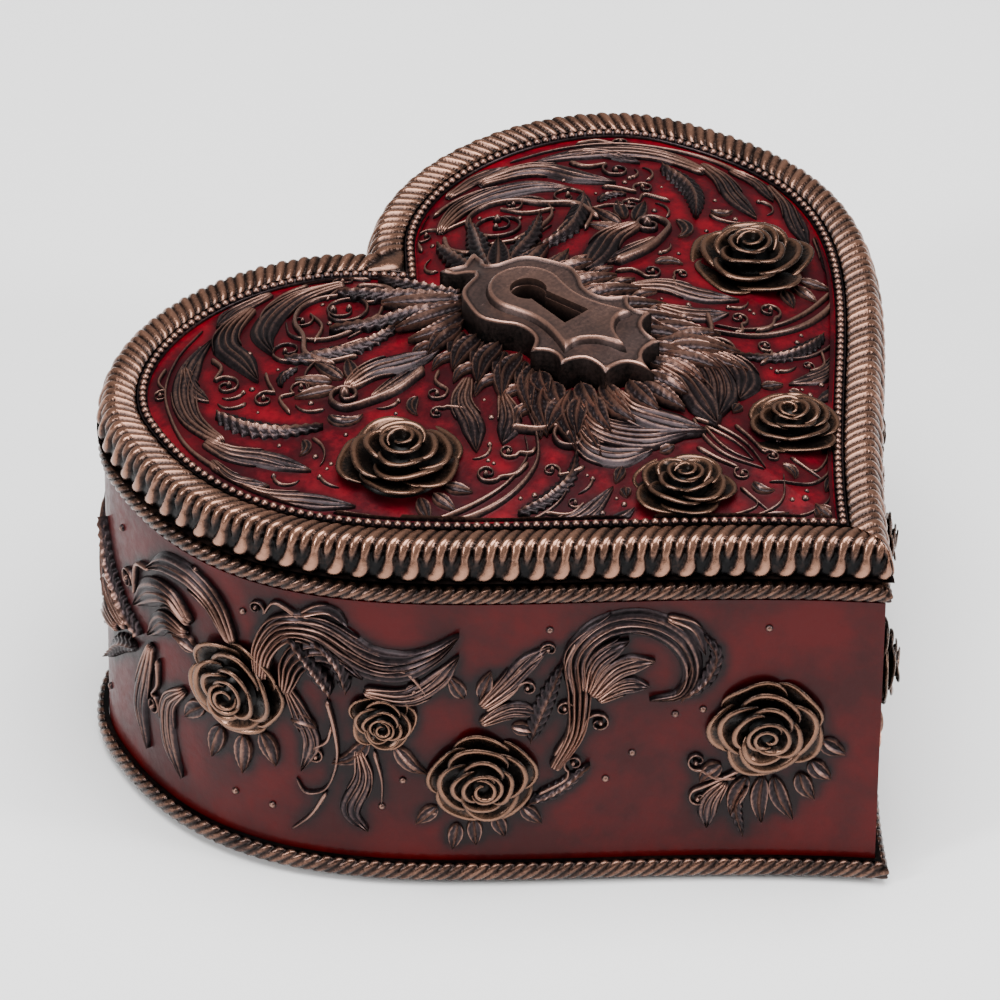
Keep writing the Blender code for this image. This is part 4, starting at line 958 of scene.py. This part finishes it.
    # Slender lines down to the tip.
    r.strand([(0.1, -52), (2.4, -58), (2.6, -64), (0.2, -71)], 0.42, 1.0)
    r.strand([(0.1, -55), (1.2, -60), (1.2, -64), (0.1, -68)], 0.35, 0.8)
    r.curl((3.9, -69), 1.9, 100, -1.3, 0.42, 1.0, [(5.2, -58), (4.6, -63)])
    r.strand([(25, -67), (19, -73), (12, -77.5), (4, -79), (-2, -74)], 0.5, 1.1)
    r.strand([(20, -66), (15, -73.5), (8, -76.5), (6.8, -72)], 0.42, 0.9)
    r.strand([(6.9, -71), (7.3, -79)], 0.42, 0.9)
    r.strand([(15, -77), (8, -81.5), (3, -84.5), (0, -85)], 0.45, 1.0)
    r.leaf([(10, -79.5), (5, -82)], 1.2, 1.1)
    r.leaf([(0.3, -84.5), (2.2, -88)], 0.9, 1.1)
    if side > 0:
        r.leaf([(0, -84), (0, -89.5)], 1.0, 1.3)
        r.beads(0.75, (0, -81.5))
        r.beads(0.5, (-2, -80), (2, -80))
    r.beads(0.62, (61.5, 11), (51, 15.5), (57.5, -8.5), (47, 3.5), (25.5, -58.8), (30, -57.5), (36, -45.5),
            (27, -25), (43, 24.5), (26, 20), (17, 30.5), (66, -19), (34, -26), (9, -66), (22, -75.5), (47, 34),
            (9.5, 37))
    r.fill(lambda p: dome_share(p) < 0.955 and not (p[0] < 14 and -42 < p[1] < 9),
           lambda p: math.atan2(p[1] + 12, p[0]) + 1.1 * math.sin(0.09 * p[0]) + (0.6 if p[1] > 0 else -0.5),
           (0.6, -90), (80, 52), 16000, 21)
    r.build(f"lid_foliage_{dict(SIDES)[side]}", "lid", "dark_bronze", RELIEF_METAL)
    return r


def wall_foliage(side):
    """The ornament of one side wall, in (distance from the tip, height)."""
    r = Relief(on_wall, side)
    for u, z, radius, _ in SIDE_ROSES:
        r.disc((u, z), radius)
    # Sprigs and leaves round the rose nearest the tip.
    r.leaves([(22, 24, 22, 13), (20, 24, 16, 14), (25, 24, 28, 15), (13, 28, 9, 24), (11, 33, 6.5, 30),
              (15, 25, 12, 19), (30, 27, 34, 23)], 1.9, 1.9, bow=(0.6, 0))
    r.curl((34.5, 28), 2.4, 250, 1.2, 0.5, 1.3, [(27, 24), (31, 24)])
    r.curl((34, 19), 2.2, 60, -1.2, 0.5, 1.2, [(26, 26), (32, 22.5)])
    r.plume([(29, 23), (32, 18), (32.5, 12)], 1.6, 1.7, 4)
    r.feather([(25, 22), (27, 17), (25.5, 10)], 1.6, 1.6)
    # The large acanthus curl.
    r.plume([(62, 27), (58, 35), (57, 43), (58, 52), (54, 59), (46, 61), (39, 57), (36, 50), (38, 44), (44, 43)],
            2.3, 2.6, 5, 0.6)
    r.plume([(56, 45), (54, 52), (48, 57)], 1.8, 2.2, 4)
    r.plume([(55, 44), (50, 50), (43, 52)], 1.9, 2.2, 4)
    r.plume([(54, 43), (49, 46), (44, 46)], 1.6, 2.0, 4)
    r.feather([(38, 43), (33.5, 47), (31.5, 53), (34, 58)], 1.8, 1.9, 1.9)
    r.plume([(41, 62), (36, 59), (33.5, 53)], 1.2, 1.7, 3)
    r.curl((53.5, 37.5), 2.6, 30, 1.3, 0.5, 1.4, [(60, 31), (57, 35)])
    r.curl((60, 41), 2.2, 200, -1.3, 0.5, 1.3, [(62, 30), (59, 36)])
    r.strand([(58, 57), (60, 51), (58, 44)], 0.55, 1.3)
    # Wheat and sprigs above the third rose.
    r.feather([(66.5, 34), (64, 42), (60.5, 52)], 2.2, 2.0, 1.9)
    r.plume([(76, 42), (71, 47), (67, 52), (63, 56)], 1.7, 1.9, 4)
    r.plume([(76, 38), (70, 41), (64, 40)], 1.5, 1.7, 4)
    r.curl((67, 46), 2.2, 0, 1.2, 0.5, 1.2, [(75, 41), (71, 44)])
    r.curl((63, 55), 2.0, 320, 1.2, 0.45, 1.1, [(72, 47), (68, 51)])
    r.leaves([(79, 44, 82, 49), (76, 44, 74, 50), (70, 37, 65, 36), (80, 14, 81, 8), (77, 15, 76.5, 9),
              (73, 16, 71, 11), (68, 18, 64, 14), (84, 18, 88, 14)], 1.6, 1.6)
    r.feather([(67, 19), (61, 22), (55, 28)], 1.9, 1.8, 1.8)
    r.curl((58, 28), 2.2, 300, 1.3, 0.5, 1.2, [(65, 21), (60, 24)])
    # The long plume that arches over the bud.
    r.plume([(118, 44), (117, 52), (112, 58), (105, 57), (98, 52), (91, 51), (85, 54), (80, 59)], 3.0, 2.9, 6, 0.7)
    r.plume([(113, 42), (111, 50), (105, 53), (98, 48)], 2.4, 2.6, 5, 0.6)
    r.plume([(110, 61), (105, 62.5), (101, 60)], 1.3, 2.0, 3)
    r.plume([(98, 45), (90, 44), (84, 48), (80, 54)], 1.7, 2.0, 4)
    r.feather([(104, 44), (108, 50), (112, 56)], 2.0, 2.4, 2.0, 0.5)
    r.feather([(101, 45), (103, 51), (107, 56)], 1.8, 2.2, 2.0, 0.5)
    r.curl((88.5, 46), 2.2, 200, 1.2, 0.5, 1.3, [(93, 50), (90, 50)])
    r.curl((119, 60), 1.9, 200, -1.3, 0.5, 1.2, [(110, 60), (115, 62.5)])
    # Hanging tendrils and leaves under the bud and beside the first rose.
    r.strand([(105, 42), (103.5, 35), (103, 28), (105, 21), (109, 19), (111, 22)], 0.6, 1.4)
    r.strand([(105, 20), (108, 14), (112, 9.5)], 0.6, 1.3)
    r.plume([(113, 44), (110, 37), (108, 31), (110, 24)], 1.5, 1.8, 4)
    r.curl((107.5, 28), 2.0, 90, 1.3, 0.45, 1.1, [(104, 36), (105, 32)])
    r.plume([(99, 31), (98, 24), (100.5, 16), (97, 11.5)], 1.7, 1.9, 4)
    r.strand([(96, 31), (94.5, 24), (94.5, 18)], 0.5, 1.3)
    r.leaf([(92, 32), (89, 28), (86, 26)], 1.7, 1.8)
    r.leaf([(97, 33), (100, 29), (104, 27)], 1.7, 1.8)
    r.leaves([(122, 29, 122, 20), (118, 31, 115, 24), (127, 29, 129, 21), (131, 32, 136, 27),
              (112, 36, 107, 35), (133, 44, 139, 45)], 2.0, 2.0, bow=(0, 0.5))
    # Past the first rose and round the lobe.
    r.plume([(124, 50), (128, 57), (134, 60.5), (141, 60), (147, 56)], 2.3, 2.3, 5)
    r.plume([(134, 50), (140, 53), (147, 50), (152, 44)], 2.4, 2.3, 5)
    r.plume([(135, 47), (142, 46), (147, 40)], 1.9, 2.0, 5)
    r.plume([(136, 33), (141, 27), (141, 18), (137, 11.5)], 1.8, 1.9, 4)
    r.plume([(146, 38), (149, 29), (151, 20), (148, 12)], 1.9, 1.9, 4)
    r.curl((146, 24), 2.6, 90, 1.3, 0.5, 1.3, [(144, 36), (144, 30)])
    r.curl((155, 48), 3.2, 200, -1.3, 0.6, 1.4, [(146, 56), (151, 54)])
    r.feather([(150, 38), (157, 40), (164, 46), (168, 54)], 2.3, 2.1, 2.0)
    r.feather([(152, 34), (159, 30), (166, 22)], 2.2, 2.0, 2.0)
    r.plume([(156, 36), (165, 37), (175, 42), (184, 52)], 2.2, 2.0, 5)
    r.plume([(160, 33), (170, 30), (180, 22), (186, 13)], 2.0, 1.9, 5)
    r.curl((176, 33), 3.4, 180, 1.4, 0.6, 1.4, [(162, 42), (168, 40)])
    r.curl((189, 38), 4.4, 200, -1.4, 0.7, 1.5, [(174, 46), (182, 48)])
    r.strand([(184, 30), (194, 24), (204, 26), (212, 34), (222, 40)], 0.6, 1.3)
    r.feather([(196, 40), (204, 44), (212, 52)], 2.0, 1.8, 1.9)
    r.leaf([(200, 28), (204, 20), (205, 13)], 1.9, 1.8)
    r.curl((224, 36), 3.2, 90, -1.3, 0.5, 1.2, [(212, 34), (219, 40)])
    r.beads(0.75, (21.7, 59), (33.7, 40), (52, 24), (39, 39), (90.5, 24), (122, 58), (124, 14.5), (84.5, 16.5),
            (94.5, 17.5), (133, 63), (135, 62), (63, 59.5), (47, 30), (116, 14), (158, 58), (167, 14), (180, 60),
            (196, 52), (214, 20))
    r.build(f"wall_foliage_{dict(SIDES)[side]}", "box", "dark_bronze", RELIEF_METAL)
    return r


# ---------------------------------------------------------------- flat plates with a hole
def slab(name, body, material, rows, hole, hole_z, replaces=(), pit=False):
    """Loops of equal count from the bottom up, capped at both ends, with a hole between the two
    levels of hole_z, or a pit that is closed at the lower one. Each row is (loop, heights, ridge)."""
    verts, faces, ridge = [], [], []
    count = len(rows[0][0])
    for loop, heights, value in rows:
        verts += [(x, y, z) for (x, y), z in zip(loop, np.broadcast_to(heights, count))]
        ridge += [value] * count
    for k in range(len(rows) - 1):
        for i in range(count):
            j = (i + 1) % count
            faces.append((k * count + i, k * count + j, (k + 1) * count + j, (k + 1) * count + i))
    hole_start = len(verts)
    size = len(hole)
    # Painted shade: the hole's lower edge, and with it the floor of a pit, get a ridge far under zero so they come
    # out near black, for the darkness inside the keyhole; the upper edge is lighter.
    for level, value in zip(hole_z, (-0.8, 0.6)):
        verts += [(x, y, level) for x, y in hole]
        ridge += [value] * size
    for i in range(size):
        j = (i + 1) % size
        faces.append((hole_start + i, hole_start + size + i, hole_start + size + j, hole_start + j))
    if pit:
        for tri in tessellate_polygon([[Vector((x, y, 0)) for x, y in hole]]):
            faces.append(tuple(hole_start + i for i in tri))
    for end, first in ((0, 0), (1, (len(rows) - 1) * count)):
        outline = [Vector((x, y, 0)) for x, y in rows[-end][0]]
        opening = [Vector((x, y, 0)) for x, y in hole]
        index = [first + i for i in range(count)] + [hole_start + end * size + i for i in range(size)]
        for tri in tessellate_polygon([outline, opening]):
            faces.append(tuple(index[i] for i in (tri if end else tri[::-1])))
    mesh = bpy.data.meshes.new(name)
    mesh.from_pydata([(x * MM, (y + SHIFT_Y) * MM, z * MM) for x, y, z in verts], [], faces)
    layer = mesh.attributes.new("ridge", "FLOAT", "POINT")
    layer.data.foreach_set("value", np.array(ridge, np.float32))
    solid = bmesh.new()
    solid.from_mesh(mesh)
    bmesh.ops.recalc_face_normals(solid, faces=solid.faces)
    solid.to_mesh(mesh)
    solid.free()
    mesh.shade_smooth()
    mesh.set_sharp_from_angle(angle=math.radians(35))
    return settle(name, mesh, body, material, replaces)


def inset(loop, distance):
    """A loop moved inwards along its corner normals."""
    before, after = np.roll(loop, 1, 0), np.roll(loop, -1, 0)
    along = unit(after - before)
    area = np.sum(loop[:, 0] * after[:, 1] - after[:, 0] * loop[:, 1])
    return loop + np.stack([-along[:, 1], along[:, 0]], 1) * distance * np.sign(area)


def inset_even(loop, distance):
    """The same, but points that come nearer to the loop than distance, as at sharp corners, are
    gathered between their good neighbours."""
    moved = inset(loop, distance)
    if distance <= 0:
        return moved
    edge = np.roll(loop, -1, 0) - loop
    share = np.clip(np.sum((moved[:, None] - loop) * edge, -1) / np.sum(edge * edge, -1), 0, 1)
    away = np.linalg.norm(moved[:, None] - loop - share[..., None] * edge, axis=-1).min(1)
    good = np.flatnonzero(away > distance * 0.93)
    for left, right in zip(good, np.roll(good, -1)):
        between = np.arange(left + 1, right if right > left else right + len(loop)) % len(loop)
        moved[between] = (moved[left] + moved[right]) / 2
    return moved


def refine(points, step=0.7):
    """More points along straight pieces."""
    points = np.array(points, float)
    out = []
    for a, b in zip(points, points[1:]):
        n = max(1, int(np.linalg.norm(b - a) / step))
        out += [a + (b - a) * i / n for i in range(n)]
    return out + [points[-1]]


def mirrored(half):
    """A closed loop from its right half, which starts and ends on the middle line."""
    half = np.array(half)
    return np.concatenate([half, half[-2:0:-1] * [-1, 1]])


def scallop(start, end, depth, steps=8):
    """Points of a shallow arc between two points."""
    dx, dy = end[0] - start[0], end[1] - start[1]
    t = np.linspace(0, 1, steps + 1)
    bow = 4 * depth * t * (1 - t)
    return [(start[0] + dx * a - dy * b, start[1] + dy * a + dx * b) for a, b in zip(t, bow)]


def curve(points, count):
    return [tuple(p) for p in smooth_path(points, count)[0]]


def plate_outline():
    """Half of the keyhole plate: crown, neck, round body, waist and bat-wing lower edge."""
    corners = [(13.5, -22.0), (12.4, -29.0), (7.4, -36.0), (0, -41.8)]
    half = curve([(0, 9.5), (2.4, 10.6), (4.6, 11.4)], 5)
    half += curve([(4.6, 11.4), (3.4, 7.6), (1.8, 5.2), (3.2, 3.4)], 10)[1:]
    half += curve([(3.2, 3.4), (8.6, 1.4), (11.2, -3.0), (12.4, -7.4), (11.2, -11.0), (9.3, -14.0), (9.0, -17.0),
                   (10.2, -19.8), (13.5, -22.0)], 40)[1:]
    for a, b in zip(corners, corners[1:]):
        half += scallop(a, b, -0.3)[1:]
    return mirrored(refine(half))


def arc(radius, centre_y, last, count):
    """Points from the top of a circle on the middle line, clockwise to an angle in degrees."""
    angles = np.radians(np.linspace(90, last, count))
    return [(0, centre_y + radius)] + [(radius * math.cos(t), centre_y + radius * math.sin(t)) for t in angles[1:]]


def inner_outline():
    """The raised step inside the plate."""
    half = arc(7.4, -7.4, -22, 18)
    half += curve([half[-1], (5.9, -14.5), (6.1, -18.5), (7.2, -22.5), (9.0, -26.8)], 14)[1:]
    half += curve([(9.0, -26.8), (5.6, -26.4), (2.2, -29.0), (0.0, -34.0)], 10)[1:]
    return mirrored(refine(half))


def keyhole():
    return mirrored(arc(3.4, -8, -57, 16) + [(3.1, -21.0), (0, -21.0)])


def plate_level(y):
    """Height of the plate's face, which falls away at the crown and at the lower edge."""
    return PLATE_TOP - 2.0 * np.clip((y - 2) / 7, 0, 1) ** 1.3 - 2.0 * np.clip((-31 - y) / 11, 0, 1)


def build_plate():
    """The keyhole plate in two steps. Each profile runs inwards from the step's outline, as
    (inset, height over the plate's face, ridge)."""
    hole, outline, raised = keyhole(), plate_outline(), inner_outline()
    rows = [(outline, 80, 0.0)]
    for away, up, ridge in ((0.0, -0.6, 0.1), (0.16, -0.15, 0.95), (0.45, 0.0, 1.0), (0.75, -0.15, 0.6),
                            (1.05, -0.5, 0.2), (1.5, -0.55, 0.42)):
        loop = inset_even(outline, away)
        rows.append((loop, plate_level(loop[:, 1]) + up, ridge))
    slab("keyhole_escutcheon", "lid", PLATE_METAL, rows, hole,
         (80.5, PLATE_TOP - 0.8), ["keyhole_plate"])
    rows = []
    for away, up, ridge in ((-0.45, -0.8, 0.1), (0.0, 0.2, 0.3), (0.22, 0.75, 0.95), (0.5, 0.95, 0.95),
                            (0.9, 0.85, 0.48)):
        loop = inset_even(raised, away)
        rows.append((loop, plate_level(loop[:, 1]) * 0.35 + PLATE_TOP * 0.65 + up, ridge))
    slab("keyhole_inner_plate", "lid", PLATE_METAL, rows, inset(hole, -0.15),
         (83.95, PLATE_TOP + 0.8), pit=True)


# ---------------------------------------------------------------- movement and underside
def build_cylinder():
    """The brass drum with its rows of tune pins, about the cylinder's axis."""
    low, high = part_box("cylinder")
    x0, x1 = low.x / MM, high.x / MM
    axis = np.array([(low.y + high.y) / 2 / MM - SHIFT_Y, (low.z + high.z) / 2 / MM])
    radius = (high.z - low.z) / 2 / MM
    drum = Builder()
    a = circle(48)
    edge, bore, tracks = 0.25, 1.3, 36
    profile = [(x0, bore), (x0, radius - edge), (x0 + edge, radius)]
    profile += [(x, radius) for x in np.linspace(x0 + 0.8, x1 - 0.8, 6)]
    profile += [(x1 - edge, radius), (x1, radius - edge), (x1, bore)]
    drum.grid(np.array([np.stack([np.full(len(a), x), axis[0] + r * np.cos(a), axis[1] + r * np.sin(a)], 1)
                        for x, r in profile]), 0.5, closed=True)
    rng = np.random.RandomState(18)
    pitch = (x1 - x0 - 1.2) / tracks
    spin = circle(6)[:, None]
    for track in range(tracks):
        for angle in rng.uniform(0, 2 * math.pi, rng.randint(3, 8)):
            out = np.array([0, math.cos(angle), math.sin(angle)])
            side = np.array([0, -out[2], out[1]])
            base = np.array([x0 + 0.6 + pitch * (track + 0.5), *axis])
            rows = [base + out * (radius + up) + r * (np.cos(spin) * [1, 0, 0] + np.sin(spin) * side)
                    for up, r in ((-0.1, 0.17), (0.4, 0.14), (0.52, 0.01))]
            drum.grid(np.array(rows), 0.5, closed=True, flip=True)
    drum.build("pinned_cylinder", "cylinder_body", "brass", BRASS, ["cylinder"])


def build_felt():
    """The felt under the base, cut a little unevenly, with its opening for the key."""
    rng = np.random.RandomState(4)
    outline = Ring(1.1).loop(-1.0)
    ragged = outline + rng.uniform(-0.14, 0.14, outline.shape)
    a = circle(64)
    hole = [-8, ARBOR_Y] + 19 * np.stack([np.cos(a), np.sin(a)], 1)
    rows = [(ragged, 0.0, 0.3), (inset(ragged, -0.2), 0.3, 0.3), (ragged, 0.7, 0.3),
            (inset(ragged, 0.3), FELT_TOP, 0.3)]
    felt = slab("felt_pad", "box", FELT, rows, hole, (0.0, FELT_TOP), ["base_felt"])


def dress_cad_nodes():
    """Materials for the CAD nodes that are shown as they are."""
    looks = {
        AGED: [f"hinge_{part}_{word}" for part in ("leaf_lower", "leaf_upper", "pin") for _, word in SIDES],
        STEEL: [f"{part}_screw_{i + 1}" for part, count in (("base", 4), ("comb", 2), ("movement", 3))
                for i in range(count)]
        + ["winding_arbor", "cylinder_arbor", "cylinder_pinion", "idler_arbor", "idler_pinion", "governor_worm",
           "stop_wire"],
        SPRING: ["mainspring", "comb"],
        BRASS: ["spring_housing", "great_wheel", "winding_key", "cylinder_gear", "worm_wheel"],
        ZINC: ["movement_bedplate", "governor_frame"],
        BOARD: ["base_plate"],
        PLASTIC: ["air_brake"],
        CLEAR: ["movement_cover"],
    }
    for material, nodes in looks.items():
        for name in nodes:
            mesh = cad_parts[name].data
            mesh.materials.clear()
            mesh.materials.append(material)


# ---------------------------------------------------------------- stage
def build_floor():
    """A wide pale disc."""
    mesh = bpy.data.meshes.new("floor")
    radius_m = 6
    mesh.from_pydata([(radius_m * math.cos(t), radius_m * math.sin(t), 0) for t in circle(64)], [], [range(64)])
    n = Nodes("pale_floor")
    grain = n.noise(180, 3)
    mesh.materials.append(n.set(Base_Color=n.ramp(grain, (0.3, (0.86, 0.86, 0.86)), (0.7, (0.9, 0.9, 0.9))),
                                Roughness=0.7))
    show(bpy.data.objects.new("floor", mesh))


def area_light(name, place, width, height, power):
    """A white light aimed at the middle of the box, in metres and watts."""
    light = bpy.data.lights.new(name, "AREA")
    light.shape, light.size, light.size_y, light.energy = "RECTANGLE", width, height, power
    obj = show(bpy.data.objects.new(name, light))
    obj.location = place
    obj.rotation_euler = (Vector((0, 0, 0.05)) - Vector(place)).to_track_quat("-Z", "Y").to_euler()


def build_lights():
    """A dim white world, a broad light overhead and a strip at each side."""
    world = bpy.data.worlds.new("studio")
    bpy.context.scene.world = world
    world.use_nodes = True
    background = world.node_tree.nodes["Background"]
    background.inputs["Color"].default_value = (1, 1, 1, 1)
    background.inputs["Strength"].default_value = 0.3
    area_light("top", (-0.1, -0.15, 1.6), 1.3, 1.3, 60)
    area_light("left", (-1.3, 0.2, 0.75), 0.25, 0.6, 16)
    area_light("right", (0.6, -1.25, 0.7), 0.25, 0.6, 16)


def build_camera():
    """A long lens at the photograph's angle."""
    azimuth, elevation, roll = math.radians(-45.528), math.radians(35.696), math.radians(0.641)
    distance, target = 1.70943, Vector((0.0022, 0.00111 + SHIFT_Y * MM, 0.035))
    back = Vector((math.sin(azimuth) * math.cos(elevation), -math.cos(azimuth) * math.cos(elevation),
                   math.sin(elevation)))
    across = Vector((0, 0, 1)).cross(back).normalized()
    upward = back.cross(across)
    x_axis = across * math.cos(roll) + upward * math.sin(roll)
    y_axis = upward * math.cos(roll) - across * math.sin(roll)
    camera = bpy.data.cameras.new("camera")
    camera.lens, camera.sensor_width = 313.3, 36
    obj = show(bpy.data.objects.new("camera", camera))
    obj.matrix_world = Matrix((x_axis, y_axis, back)).transposed().to_4x4()
    obj.location = target + back * distance
    bpy.context.scene.camera = obj


# ---------------------------------------------------------------- everything in place
lid_relief = [lid_foliage(side) for side in (-1, 1)]
wall_relief = [wall_foliage(side) for side in (-1, 1)]


def lid_halo(points, reach):
    """The halo of the lid's two mirrored halves together."""
    return np.maximum(lid_relief[0].halo(points * [-1, 1], reach), lid_relief[1].halo(points, reach))


build_walls(wall_relief[0].halo)
rope_ring = Ring(0.28)
rope("rope_upper", "upper_rope_trim", (-0.4, 67.55, 1.6, 1.85), 0.6, rope_ring)
rope("rope_lower", "lower_rope_trim", (1.35, 3.15, 1.15, 1.95), 0.55, rope_ring)
build_soft()
build_rim()
build_beads()
build_dome(lid_halo)
build_roses()
build_plate()
build_cylinder()
build_felt()
dress_cad_nodes()
build_floor()
build_lights()
build_camera()
